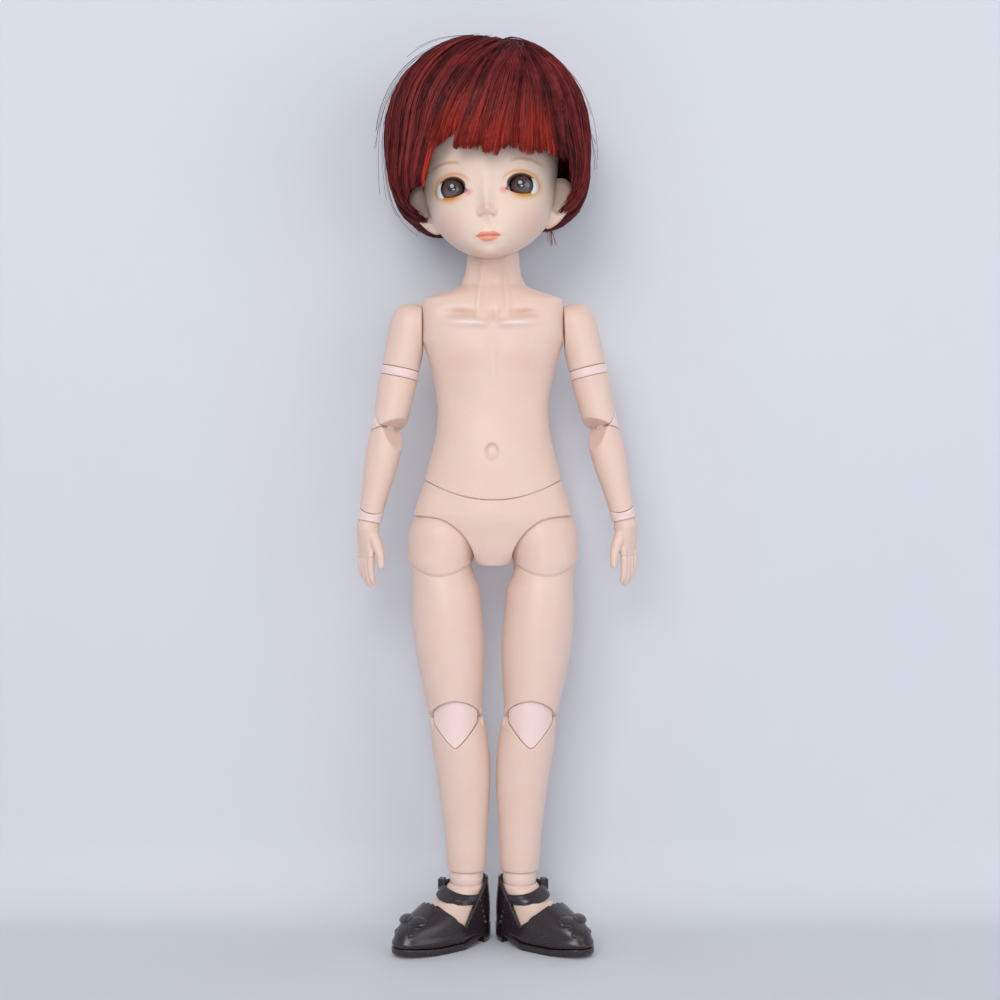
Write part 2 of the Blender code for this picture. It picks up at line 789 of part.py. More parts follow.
def make_shin(side_name, side, materials):
    frame = at(KNEE_OUT, 0, KNEE_LOW)
    low = ANKLE_HEIGHT + SHIN_FOOT
    length = KNEE_LOW + SHIN_HEAD - low
    rings = []
    for rise, out, width, front, back in SHIN_ROW_SHARES:
        rings.append(
            ring(
                low + length * rise - KNEE_LOW,
                SHIN_HALF_WIDTH * width,
                SHIN_HALF_DEPTH * front,
                SHIN_HALF_DEPTH * back,
                ANKLE_OUT - KNEE_OUT + SHIN_HALF_WIDTH * out,
            )
        )
    shin = Piece(f"shin_{side_name}", skin(rings), materials["body_skin"], frame, side)
    fork(shin, KNEE, 0.0, -1)
    radius = ANKLE_BALL_RADIUS + GAP
    shin.cut(ball((0, 0, 0), (radius,) * 3), ankle_frame())
    stem = ANKLE_STEM_RADIUS + GAP
    top = ANKLE_STEM_LENGTH + GAP
    shin.cut(rod((0, 0, 0), (0, 0, top), stem, sides=SMALL_SIDES), ankle_frame())


def make_ankle(side_name, side, materials):
    ankle = Piece(
        f"ankle_ball_{side_name}",
        ball((0, 0, 0), (ANKLE_BALL_RADIUS,) * 3),
        materials["joint_plastic"],
        ankle_frame(),
        side,
    )
    ankle.join(rod((0, 0, 0), (0, 0, ANKLE_STEM_LENGTH), ANKLE_STEM_RADIUS, sides=SMALL_SIDES))


def foot_outline(height, grow, width, front, back, sides=LIMB_SIDES):
    """A level outline of the foot, narrower toward the heel, most of all at the sole."""
    half = FOOT_HALF_WIDTH * width
    square = ring(height, half, front, back, power=TOE_POWER, sides=sides)
    plain = ring(height, half, front, back, sides=sides)
    outline = [toe if toe.y < 0 else heel for toe, heel in zip(square, plain)]
    lower = 1 - min(max((height + ANKLE_HEIGHT) / FOOT_HEIGHT, 0), 1)
    points = []
    for point in outline:
        share = min(max((point.y + ARCH_FORWARD) / (FOOT_HEEL_REACH + ARCH_FORWARD), 0), 1)
        narrow = 1 + (HEEL_WIDTH_SHARE - 1) * share * lower
        away = Vector((point.x / FOOT_HALF_WIDTH, point.y / (front if point.y < 0 else back), 0))
        points.append(Vector((point.x * narrow, point.y, point.z)) + away.normalized() * grow)
    return points


def foot_rings(grow, bottom, top, sides=LIMB_SIDES):
    """The foot's form, grown by an allowance, from one height above the floor to another."""
    rings = []
    for rise, width, front, back in FOOT_ROW_SHARES:
        height = bottom + (top - bottom) * rise - ANKLE_HEIGHT
        toe = FOOT_TOE_REACH * front
        heel = FOOT_HEEL_REACH * back
        rings.append(foot_outline(height, grow, width, toe, heel, sides))
    return rings


def foot_section(height, grow, sides=LIMB_SIDES):
    """The foot's outline at one height, found between its rows."""
    rise = height / FOOT_HEIGHT
    rows = FOOT_ROW_SHARES
    for low, high in zip(rows, rows[1:]):
        if low[0] <= rise <= high[0]:
            share = (rise - low[0]) / (high[0] - low[0])
            width, front, back = [a + (b - a) * share for a, b in zip(low[1:], high[1:])]
            toe, heel = FOOT_TOE_REACH * front, FOOT_HEEL_REACH * back
            return foot_outline(height - ANKLE_HEIGHT, grow, width, toe, heel, sides)
    raise ValueError("the height is outside the foot")


def sole_top_outline(lift, far):
    """Side outline of all that lies under the sole's top, lifted by an allowance."""
    toe = FOOT_TOE_REACH
    heel = FOOT_HEEL_REACH
    top = [
        (-toe - far, SOLE_TOP_TOE),
        (-toe, SOLE_TOP_TOE),
        (-toe + ARCH_FORWARD, SOLE_TOP_BALL),
        (-ARCH_FORWARD, SOLE_TOP_BALL),
        (HEEL_FRONT, SOLE_TOP_HEEL),
        (heel + far, SOLE_TOP_HEEL),
    ]
    outline = [(y, z + lift - ANKLE_HEIGHT) for y, z in top]
    return [(-toe - far, -ANKLE_HEIGHT - far), *outline, (heel + far, -ANKLE_HEIGHT - far)]


def below_sole_top(lift):
    width = FOOT_HALF_WIDTH + OVERRUN
    return prism(sole_top_outline(lift, OVERRUN), "X", -width, width)


def make_foot(side_name, side, materials):
    foot = Piece(
        f"foot_{side_name}",
        skin(foot_rings(0.0, 0.0, FOOT_HEIGHT)),
        materials["body_skin"],
        foot_frame(),
        side,
    )
    radius = ANKLE_BALL_RADIUS + GAP
    foot.cut(ball((0, 0, 0), (radius,) * 3))
    foot.cut(below_sole_top(GAP))


def shoe_opening_outline():
    """Side outline of all that lies above the shoe's top line."""
    far = FOOT_TOE_REACH + OVERRUN
    high = SHOE_TOP_HEIGHT + OVERRUN
    top = SHOE_TOP_HEIGHT + SHOE_WALL
    outline = [
        (-far, high),
        (-SHOE_THROAT_FORWARD - SHOE_WALL, high),
        (-SHOE_THROAT_FORWARD, SHOE_THROAT_HEIGHT),
        (-SHOE_WALL, SHOE_SIDE_HEIGHT),
        (SHOE_COUNTER_BACK, top - SHOE_WALL),
        (far, top),
        (far, high),
    ]
    return [(y, z - ANKLE_HEIGHT) for y, z in outline[1:]]


def make_shoe_upper(side_name, side, materials):
    grow = GAP + SHOE_WALL
    upper = Piece(
        f"shoe_upper_{side_name}",
        skin(foot_rings(grow, -SHOE_WALL, SHOE_TOP_HEIGHT)),
        materials["shoe_vinyl"],
        foot_frame(),
        side,
    )
    half = BOW_HALF_WIDTH / 2
    lobe = (half, BOW_HALF_LENGTH, BOW_HALF_HEIGHT)
    height = SHOE_THROAT_HEIGHT + GAP - ANKLE_HEIGHT
    for place in (-half, half):
        upper.join(ball((place, -BOW_FORWARD, height), lobe, SMALL_SIDES, 5))
    radius = ANKLE_BALL_RADIUS + 2 * GAP
    collar = [ring(height, radius, radius, radius) for height in (0, OVERRUN)]
    upper.cut(skin(foot_rings(GAP, -GAP, FOOT_HEIGHT + GAP) + collar))
    width = FOOT_HALF_WIDTH + OVERRUN
    upper.cut(prism(shoe_opening_outline(), "X", -width, width))
    upper.cut(below_sole_top(GAP))


def make_shoe_sole(side_name, side, materials):
    toe = FOOT_TOE_REACH + OVERRUN
    heel = FOOT_HEEL_REACH + OVERRUN
    bottom = [
        (heel, 0),
        (HEEL_FRONT, 0),
        (HEEL_FRONT, SOLE_TOP_HEEL - SOLE_THICKNESS),
        (-ARCH_FORWARD, 0),
        (-FOOT_TOE_REACH + ARCH_FORWARD, 0),
        (-FOOT_TOE_REACH - SHOE_WALL, TOE_SPRING),
        (-toe, TOE_SPRING),
    ]
    outline = [(y, z - ANKLE_HEIGHT) for y, z in bottom] + sole_top_outline(0.0, OVERRUN)[1:-1]
    width = FOOT_HALF_WIDTH + OVERRUN
    sole = Piece(
        f"shoe_sole_{side_name}",
        prism(outline, "X", -width, width),
        materials["shoe_vinyl"],
        foot_frame(),
        side,
    )
    grow = GAP + SHOE_WALL + SOLE_EDGE
    low = -ANKLE_HEIGHT - OVERRUN
    high = SOLE_TOP_HEEL + OVERRUN - ANKLE_HEIGHT
    rings = [
        foot_outline(height, grow, 1.0, FOOT_TOE_REACH, FOOT_HEEL_REACH, BODY_SIDES)
        for height in (low, high)
    ]
    sole.keep(skin(rings))


def make_shoe_strap(side_name, side, materials):
    """A band round the front of the ankle, with its button on the outer side."""
    low = STRAP_HEIGHT - STRAP_WIDTH / 2
    high = STRAP_HEIGHT + STRAP_WIDTH / 2
    outlines = []
    outer = GAP + STRAP_THICKNESS
    for height, grow in ((low, GAP), (low, outer), (high, outer), (high, GAP)):
        outlines.append(foot_section(height, grow, BODY_SIDES))
    front = [step for step, point in enumerate(outlines[0]) if point.y < 0]
    rings = [[outline[step] for outline in outlines] for step in front]
    strap = Piece(
        f"shoe_strap_{side_name}", skin(rings), materials["shoe_vinyl"], foot_frame(), side
    )
    corner = rings[-1]
    start = (corner[1] + corner[2] + corner[0] + corner[3]) / 4
    end = start + Vector((BUTTON_DEPTH, 0, 0))
    strap.join(rod(start, end, BUTTON_RADIUS, sides=SMALL_SIDES))


def make_leg(side_name, side, materials):
    make_hip_peg(side_name, side, materials)
    make_thigh(side_name, side, materials)
    hinge_set("knee", KNEE, side_name, materials, knee_frame(), side)
    make_shin(side_name, side, materials)
    make_ankle(side_name, side, materials)
    make_foot(side_name, side, materials)
    make_shoe_upper(side_name, side, materials)
    make_shoe_sole(side_name, side, materials)
    make_shoe_strap(side_name, side, materials)


def seam_outline():
    return ring(
        0, SEAM_HALF_WIDTH, SEAM_FRONT, SEAM_BACK, power=PELVIS_POWER, sides=BODY_SIDES
    )


def pelvis_shape():
    bowl = WAIST_BALL_RADIUS + GAP
    seam = seam_outline()
    leg_line = HIP_HEIGHT + LEG_LINE_RISE
    bottom = HIP_HEIGHT - CROTCH_DROP
    rings = []
    for drop, width, front, back in PELVIS_ROW_SHARES[::-1]:
        rings.append(
            ring(
                leg_line + (bottom - leg_line) * drop,
                PELVIS_HALF_WIDTH * width,
                PELVIS_FRONT * front,
                PELVIS_BACK * back,
                power=PELVIS_POWER,
                sides=BODY_SIDES,
            )
        )
    rim = ring_on_ball(seam, 1.0, WAIST_HEIGHT, bowl)
    rings += [between(rings[-1], rim, share) for share in PELVIS_RISE_SHARES]
    rings += [ring_on_ball(seam, share, WAIST_HEIGHT, bowl) for share in DOME_SHARES]
    return skin(rings)


def leg_opening_shape():
    outline = []
    for out, rise in LEG_OPENING_SHARES:
        height = LEG_LINE_RISE if rise > 0 else CROTCH_DROP
        outline.append((PELVIS_HALF_WIDTH * out, HIP_HEIGHT + height * rise))
    depth = PELVIS_BACK + OVERRUN
    return prism(outline, "Y", -depth, depth)


def mirrored(shape):
    points, faces = shape
    return [Vector((-p.x, p.y, p.z)) for p in points], [face[::-1] for face in faces]


def half_space(facing):
    """A block that takes away the half of a shell that its twin fills."""
    far = WIG_HALF_WIDTH + OVERRUN
    top = NECK_HEIGHT + WIG_HEIGHT
    low, high = (-GAP / 2, far) if facing == "front" else (-far, GAP / 2)
    return block((-far, low, -OVERRUN), (far, high, top))


def screw_seat(piece, facing, height, back_depth):
    """Cuts the counterbore and the bore of a screw that comes in from the back."""
    seat = back_depth - SCREW_INSET - SCREW_HEAD_HEIGHT - GAP
    piece.cut(
        rod(
            (0, -SCREW_REACH - GAP, height),
            (0, back_depth, height),
            SCREW_RADIUS + GAP,
            sides=SMALL_SIDES,
        )
    )
    if facing == "back":
        piece.cut(
            rod((0, seat, height), (0, back_depth + OVERRUN, height), SCREW_HEAD_RADIUS + GAP)
        )


def make_screw(name, height, back_depth, materials):
    head = back_depth - SCREW_INSET
    profile = [
        (-SCREW_REACH, SCREW_RADIUS),
        (head - SCREW_HEAD_HEIGHT, SCREW_RADIUS),
        (head - SCREW_HEAD_HEIGHT, SCREW_HEAD_RADIUS),
        (head, SCREW_HEAD_RADIUS),
    ]
    Piece(
        name, turned(profile, axis="Y", sides=SMALL_SIDES), materials["steel"], at(z=height)
    )


def make_pelvis(materials):
    screw_height = HIP_HEIGHT - PELVIS_SCREW_DROP
    back_depth = PELVIS_BACK * PELVIS_ROW_SHARES[2][3]
    hip = HIP_BALL_RADIUS + GAP
    dome = WAIST_HEIGHT - WAIST_BALL_RADIUS
    for facing in ("front", "back"):
        pelvis = Piece(f"pelvis_{facing}", pelvis_shape(), materials["body_skin"])
        pelvis.cut(half_space(facing))
        for opening in (leg_opening_shape(), mirrored(leg_opening_shape())):
            pelvis.cut(opening)
        for side in (-1, 1):
            pelvis.cut(ball((side * HIP_OUT, 0, HIP_HEIGHT), (hip,) * 3, LIMB_SIDES, 11))
        pelvis.cut(
            rod((-HIP_OUT, 0, HIP_HEIGHT), (HIP_OUT, 0, HIP_HEIGHT), HIP_PEG_RADIUS + GAP)
        )
        pelvis.cut(
            rod(
                (0, 0, dome - WAIST_PEG_DEPTH - GAP),
                (0, 0, dome + OVERRUN),
                WAIST_PEG_RADIUS + GAP,
            )
        )
        screw_seat(pelvis, facing, screw_height, back_depth)
    make_screw("pelvis_screw", screw_height, back_depth, materials)


def torso_rings(inset, ball_radius, sides=BODY_SIDES):
    seam = ring(
        0,
        SEAM_HALF_WIDTH - inset,
        SEAM_FRONT - inset,
        SEAM_BACK - inset,
        power=PELVIS_POWER,
        sides=sides,
    )
    rings = [ring_on_ball(seam, share, WAIST_HEIGHT, ball_radius) for share in DOME_SHARES[::-1]]
    for rise, width, front, back, power in TORSO_ROW_SHARES:
        if inset > 0 and rise > CAVITY_TOP_SHARE:
            continue
        rings.append(
            ring(
                WAIST_HEIGHT + CHEST_TO_NECK * rise,
                min(SHOULDER_PLANE * width, SHOULDER_PLANE + GAP) - inset,
                CHEST_FRONT * front - inset,
                CHEST_BACK * back - inset,
                power=power,
                sides=sides,
            )
        )
    return rings


def make_torso(materials):
    upper_screw = WAIST_HEIGHT + UPPER_SCREW_RISE
    lower_screw = WAIST_HEIGHT - LOWER_SCREW_DROP
    back_depth = CHEST_BACK * TORSO_ROW_SHARES[2][3]
    dome = WAIST_HEIGHT - WAIST_BALL_RADIUS
    neck = at(0, NECK_BACK, NECK_HEIGHT)
    for facing in ("front", "back"):
        torso = Piece(
            f"torso_{facing}", skin(torso_rings(0.0, WAIST_BALL_RADIUS)), materials["body_skin"]
        )
        torso.cut(half_space(facing))
        far = SHOULDER_PLANE + OVERRUN
        for low, high in ((-far, -SHOULDER_PLANE), (SHOULDER_PLANE, far)):
            torso.cut(block((low, -far, WAIST_HEIGHT), (high, far, NECK_HEIGHT)))
        torso.cut(skin(torso_rings(WALL, WAIST_BALL_RADIUS - WALL, INNER_SIDES)))
        for height in (upper_screw, lower_screw):
            near, deep = (GAP / 2, back_depth) if facing == "back" else (-back_depth, -GAP / 2)
            torso.join(rod((0, near, height), (0, deep - GAP, height), BOSS_RADIUS))
            screw_seat(torso, facing, height, back_depth)
        peg = SHOULDER_PEG_RADIUS + GAP
        reach = SHOULDER_PLANE + OVERRUN
        for side in (-1, 1):
            start = (side * (SHOULDER_PLANE - 2 * WALL), 0, SHOULDER_HEIGHT)
            torso.cut(rod(start, (side * reach, 0, SHOULDER_HEIGHT), peg))
        torso.cut(rod((0, 0, dome - WALL), (0, 0, dome + 2 * WALL), WAIST_PEG_RADIUS + GAP))
        torso.cut(
            rod((0, 0, -NECK_STEM_LENGTH - GAP), (0, 0, 0), NECK_STEM_RADIUS + GAP), neck
        )
        torso.cut(ball((0, 0, 0), (NECK_BALL_RADIUS + GAP,) * 3), neck)
    make_screw("torso_screw_upper", upper_screw, back_depth, materials)
    make_screw("torso_screw_lower", lower_screw, back_depth, materials)


def make_waist_peg(materials):
    dome = WAIST_HEIGHT - WAIST_BALL_RADIUS
    top = dome + WALL + 3 * GAP
    profile = [
        (-WAIST_PEG_DEPTH, WAIST_PEG_RADIUS),
        (top - dome, WAIST_PEG_RADIUS),
        (top - dome, WAIST_FLANGE_RADIUS),
        (top - dome + WAIST_FLANGE_HEIGHT, WAIST_FLANGE_RADIUS),
    ]
    Piece("waist_peg", turned(profile), materials["inner_plastic"], at(z=dome))


def make_neck_ball(materials):
    neck = Piece(
        "neck_ball",
        ball((0, 0, 0), (NECK_BALL_RADIUS,) * 3),
        materials["inner_plastic"],
        at(0, NECK_BACK, NECK_HEIGHT),
    )
    neck.join(rod((0, 0, -NECK_STEM_LENGTH), (0, 0, 0), NECK_STEM_RADIUS))


def lift_pin_place():
    return SHOULDER_PLANE + LIFT_PIN_OUT, SHOULDER_HEIGHT + LIFT_PIN_RISE


def arm_frame(side):
    """The arm's own frame: origin on the lifting pin, -Z down the arm."""
    x, z = lift_pin_place()
    lift = LEFT_ARM_LIFT_DEGREES if side > 0 else 0.0
    return at(x, 0, z) @ turn(-ARM_TILT_DEGREES - lift, "Y")


def elbow_frame(side):
    drop = ARM_TO_RING + RING_HEIGHT + RING_TO_ELBOW
    return arm_frame(side) @ at(ARM_LINE_OUT, 0, -drop) @ turn(ELBOW_TURN_DEGREES, "Z")


def make_shoulder_peg(side_name, side, materials):
    frame = at(SHOULDER_PLANE, 0, SHOULDER_HEIGHT)
    flange_end = -WALL - 2 * GAP
    profile = [
        (flange_end - SHOULDER_FLANGE_WIDTH, SHOULDER_FLANGE_RADIUS),
        (flange_end, SHOULDER_FLANGE_RADIUS),
        (flange_end, SHOULDER_PEG_RADIUS),
        (0, SHOULDER_PEG_RADIUS),
    ]
    peg = Piece(
        f"shoulder_peg_{side_name}",
        turned(profile, axis="X"),
        materials["inner_plastic"],
        frame,
        side,
    )
    foot = Vector((LUG_RADIUS / 2, 0, 0))
    head = Vector((LIFT_PIN_OUT, 0, LIFT_PIN_RISE))
    along = (head - foot).normalized()
    start_angle = math.atan2(along.z, along.x)
    outline = []
    for centre, base in ((head, start_angle - math.pi / 2), (foot, start_angle + math.pi / 2)):
        for step in range(7):
            angle = base + math.pi * step / 6
            outline.append(
                (centre.x + LUG_RADIUS * math.cos(angle), centre.z + LUG_RADIUS * math.sin(angle))
            )
    peg.join(prism(outline, "Y", -LUG_THICKNESS / 2, LUG_THICKNESS / 2))
    peg.join(
        rod(
            (LIFT_PIN_OUT, -LIFT_PIN_REACH, LIFT_PIN_RISE),
            (LIFT_PIN_OUT, LIFT_PIN_REACH, LIFT_PIN_RISE),
            LIFT_PIN_RADIUS,
            sides=SMALL_SIDES,
        )
    )


def make_shoulder_cap(side_name, side, materials):
    length = SHOULDER_TOP + ARM_TO_RING - GAP
    rings = []
    for drop, out, width, depth in SHOULDER_ROW_SHARES[::-1]:
        half_depth = ARM_HALF_WIDTH * depth
        rings.append(
            ring(
                SHOULDER_TOP - length * drop,
                ARM_HALF_WIDTH * width,
                half_depth,
                half_depth,
                ARM_LINE_OUT * out,
            )
        )
    frame = arm_frame(side)
    cap = Piece(f"shoulder_cap_{side_name}", skin(rings), materials["body_skin"], frame, side)
    upright = frame @ turn(ARM_TILT_DEGREES, "Y")
    far = OVERRUN + ARM_TO_RING
    face = GAP - LIFT_PIN_OUT
    cap.cut(block((-far, -far, -far), (face, far, far)), upright)
    slot = LUG_THICKNESS / 2 + GAP
    cap.cut(block((-far, -slot, -LUG_SLOT_DROP), (LUG_SLOT_OUT, slot, far)), upright)
    reach = LIFT_PIN_REACH + GAP
    cap.cut(rod((0, -reach, 0), (0, reach, 0), LIFT_PIN_RADIUS + GAP, sides=SMALL_SIDES))
    bottom = -ARM_TO_RING
    cap.cut(
        rod(
            (ARM_LINE_OUT, 0, bottom - OVERRUN),
            (ARM_LINE_OUT, 0, bottom + RING_PEG_LENGTH + GAP),
            RING_PEG_RADIUS + GAP,
        )
    )


def make_arm_ring(side_name, side, materials):
    frame = arm_frame(side) @ at(ARM_LINE_OUT, 0, -ARM_TO_RING)
    profile = [
        (-RING_HEIGHT - RING_PEG_LENGTH, RING_PEG_RADIUS),
        (-RING_HEIGHT, RING_PEG_RADIUS),
        (-RING_HEIGHT, ARM_HALF_WIDTH),
        (0, ARM_HALF_WIDTH),
        (0, RING_PEG_RADIUS),
        (RING_PEG_LENGTH, RING_PEG_RADIUS),
    ]
    Piece(
        f"upper_arm_ring_{side_name}",
        turned(profile, sides=LIMB_SIDES),
        materials["joint_plastic"],
        frame,
        side,
    )


def make_lower_upper_arm(side_name, side, materials):
    top = -ARM_TO_RING - RING_HEIGHT - GAP
    frame = arm_frame(side) @ at(ARM_LINE_OUT, 0, top)
    rings = []
    for drop, width, depth in LOWER_ARM_ROW_SHARES[::-1]:
        half_depth = ARM_HALF_WIDTH * depth
        rings.append(
            ring(-RING_TO_ELBOW * drop, ARM_HALF_WIDTH * width, half_depth, half_depth)
        )
    arm = Piece(
        f"upper_arm_lower_{side_name}", skin(rings), materials["body_skin"], frame, side
    )
    depth = RING_PEG_LENGTH + GAP
    arm.cut(rod((0, 0, -depth), (0, 0, OVERRUN), RING_PEG_RADIUS + GAP))
    fork(arm, ELBOW, 0.0, 1, elbow_frame(side))


def make_forearm(side_name, side, materials):
    frame = elbow_frame(side) @ at(z=-ELBOW.spacing)
    rings = []
    for drop, width, depth in FOREARM_ROW_SHARES[::-1]:
        half_depth = FOREARM_HALF_WIDTH * depth
        rings.append(
            ring(-ELBOW_TO_WRIST * drop, FOREARM_HALF_WIDTH * width, half_depth, half_depth)
        )
    forearm = Piece(f"forearm_{side_name}", skin(rings), materials["body_skin"], frame, side)
    fork(forearm, ELBOW, 0.0, -1)
    bore = WRIST_STEM_RADIUS + GAP
    depth = WRIST_STEM_LENGTH + GAP
    bottom = -ELBOW_TO_WRIST
    forearm.cut(
        rod((0, 0, bottom - OVERRUN), (0, 0, bottom + depth), bore, sides=SMALL_SIDES)
    )


def wrist_frame(side):
    drop = ARM_TO_RING + RING_HEIGHT + RING_TO_ELBOW + ELBOW.spacing + ELBOW_TO_WRIST
    return arm_frame(side) @ at(ARM_LINE_OUT, 0, -drop)


def make_wrist(side_name, side, materials):
    profile = [
        (-WRIST_HEIGHT, WRIST_RADIUS),
        (-GAP, WRIST_RADIUS),
        (-GAP, WRIST_STEM_RADIUS),
        (WRIST_STEM_LENGTH, WRIST_STEM_RADIUS),
    ]
    wrist = Piece(
        f"wrist_ring_{side_name}",
        turned(profile),
        materials["joint_plastic"],
        wrist_frame(side),
        side,
    )
    half = WRIST_TONGUE_THICKNESS / 2
    centre = -WRIST_HEIGHT - WRIST_TONGUE_RADIUS
    outline = [(WRIST_TONGUE_RADIUS, -WRIST_HEIGHT / 2), (-WRIST_TONGUE_RADIUS, -WRIST_HEIGHT / 2)]
    steps = 7
    for step in range(steps + 1):
        angle = math.pi + math.pi * step / steps
        across = WRIST_TONGUE_RADIUS * math.cos(angle)
        outline.append((across, centre + WRIST_TONGUE_RADIUS * math.sin(angle)))
    wrist.join(prism(outline, "Y", -half, half))


def hand_frame(side):
    """Origin on the wrist's bending axis, with the thumb to -Y and the palm to -X."""
    return wrist_frame(side) @ at(z=-WRIST_HEIGHT - WRIST_TONGUE_RADIUS)


def make_hand(side_name, side, materials):
    top = WRIST_TONGUE_RADIUS - GAP
    wide = PALM_HALF_WIDTH
    thick = PALM_HALF_THICKNESS
    rings = [
        ring(-PALM_LENGTH * drop, thick * half, wide * front, wide * back, sides=ROUND_SIDES)
        for drop, half, front, back in PALM_ROW_SHARES
    ]
    heel = WRIST_RADIUS * HAND_HEEL_SHARE
    rings.append(ring(top, heel, heel, heel, sides=ROUND_SIDES))
    hand = Piece(
        f"hand_{side_name}", skin(rings), materials["body_skin"], hand_frame(side), side
    )
    root = -PALM_LENGTH + 2 * FINGER_RADIUS
    for number in range(FINGER_COUNT):
        y = FINGER_PITCH * (number - (FINGER_COUNT - 1) / 2)
        reach = FINGER_LENGTH * FINGER_LENGTH_SHARES[number]
        curl = -FINGER_RADIUS
        knuckle = (0, y, root - reach / 2)
        tip = (curl, y * FINGER_CLOSE_SHARE, -PALM_LENGTH - reach + 2 * FINGER_TIP_RADIUS)
        bend = (0, y, knuckle[2] + FINGER_TIP_RADIUS)
        hand.join(rod((0, y, root), knuckle, FINGER_RADIUS, sides=SMALL_SIDES))
        hand.join(rod(bend, tip, FINGER_RADIUS, FINGER_TIP_RADIUS, SMALL_SIDES))
    out, forward = THUMB_TIP_SHARES
    thumb_top = -PALM_LENGTH * THUMB_DROP_SHARE
    thumb_root = (0, -wide * THUMB_ROOT_SHARE, thumb_top)
    thumb_tip = (-thick * out, -wide * forward, thumb_top - THUMB_LENGTH)
    hand.join(rod(thumb_root, thumb_tip, THUMB_RADIUS, FINGER_TIP_RADIUS, SMALL_SIDES))
    far = PALM_HALF_WIDTH + OVERRUN
    crown = top * CROWN_SHARE
    roof = [(far, far), (far, -far), (top, crown), (crown, top), (-crown, top), (-top, crown)]
    hand.cut(prism([*roof, (-far, -far), (-far, far)], "Y", -far, far))
    half = WRIST_TONGUE_THICKNESS / 2 + GAP
    slot = WRIST_TONGUE_RADIUS + GAP
    hand.cut(block((-WRIST_RADIUS, -half, -slot), (WRIST_RADIUS, half, OVERRUN)))


def make_arm(side_name, side, materials):
    make_shoulder_peg(side_name, side, materials)
    make_shoulder_cap(side_name, side, materials)
    make_arm_ring(side_name, side, materials)
    make_lower_upper_arm(side_name, side, materials)
    hinge_set("elbow", ELBOW, side_name, materials, elbow_frame(side), side)
    make_forearm(side_name, side, materials)
    make_wrist(side_name, side, materials)
    make_hand(side_name, side, materials)


def head_frame():
    tilt = turn(HEAD_YAW_DEGREES, "Z") @ turn(HEAD_ROLL_DEGREES, "Y")
    return at(0, NECK_BACK, NECK_HEIGHT) @ tilt


def head_rings(grow, sides=HEAD_SIDES):
    rings = []
    for rise, width, middle, front, back in HEAD_ROW_SHARES:
        front_depth = HEAD_FRONT * (front + middle)
        back_depth = HEAD_BACK * back - HEAD_FRONT * middle
        rings.append(
            ring(
                HEAD_HEIGHT * rise - HEAD_DROP,
                HEAD_HALF_WIDTH * width + grow,
                front_depth + grow,
                back_depth + grow,
                y=HEAD_FRONT * middle - NECK_BACK,
                power=HEAD_POWER,
                sides=sides,
            )
        )
    lift = Vector((0, 0, grow))
    rings[0] = [point - lift for point in rings[0]]
    rings[-1] = [point + lift for point in rings[-1]]
    return rings


def make_head(materials):
    frame = head_frame()
    far = HEAD_BACK + OVERRUN
    top = HEAD_HEIGHT + OVERRUN
    seam = HEAD_SEAM_BACK
    halves = {
        "face_shell": block((-far, seam, -OVERRUN), (far, far, top)),
        "head_back_cap": block((-far, -far, -OVERRUN), (far, seam + GAP, top)),
    }
    for name, away in halves.items():
        shell = Piece(name, skin(head_rings(0.0)), materials["face_skin"], frame)
        if name == "face_shell":
            shell.join(
                ball(
                    (0, -NOSE_FORWARD - NECK_BACK, NOSE_RISE),
                    (NOSE_HALF_WIDTH, NOSE_HALF_DEPTH, NOSE_HALF_HEIGHT),
                    SMALL_SIDES,
                    6,
                )
            )
            shell.join(
                ball(
                    (0, -MOUTH_FORWARD - NECK_BACK, MOUTH_RISE),
                    (MOUTH_HALF_WIDTH, MOUTH_HALF_DEPTH, MOUTH_HALF_HEIGHT),
                    SMALL_SIDES,
                    6,
                )
            )
            for side in (-1, 1):
                shell.join(
                    ball(
                        (side * EAR_OUT, EAR_BACK - NECK_BACK, EAR_RISE),
                        (EAR_HALF_WIDTH, EAR_HALF_DEPTH, EAR_HALF_HEIGHT),
                        ROUND_SIDES,
                        7,
                    )
                )
        shell.cut(skin(head_rings(-WALL, INNER_SIDES)))
        if name == "face_shell":
            for side in (-1, 1):
                eye = (side * EYE_OUT, -EYE_FORWARD - NECK_BACK, EYE_RISE)
                shell.cut(ball(eye, (EYE_RADIUS + GAP,) * 3))
                opening = ball(
                    (eye[0], eye[1] - EYE_RADIUS, eye[2]),
                    (EYE_OPENING_HALF_WIDTH, EYE_RADIUS, EYE_OPENING_HALF_HEIGHT),
                )
                shell.cut(opening)
        shell.cut(ball((0, 0, 0), (NECK_CLEARANCE_RADIUS,) * 3))
        shell.cut(away)


def make_eyes(materials):
    for side_name, side in SIDES.items():
        frame = head_frame() @ at(side * EYE_OUT, -EYE_FORWARD - NECK_BACK, EYE_RISE)
        eye = Piece(
            f"eye_{side_name}", ball((0, 0, 0), (EYE_RADIUS,) * 3), materials["eye_plastic"], frame
        )
        far = EYE_RADIUS + OVERRUN
        eye.cut(block((-far, EYE_BACK, -far), (far, far, far)))


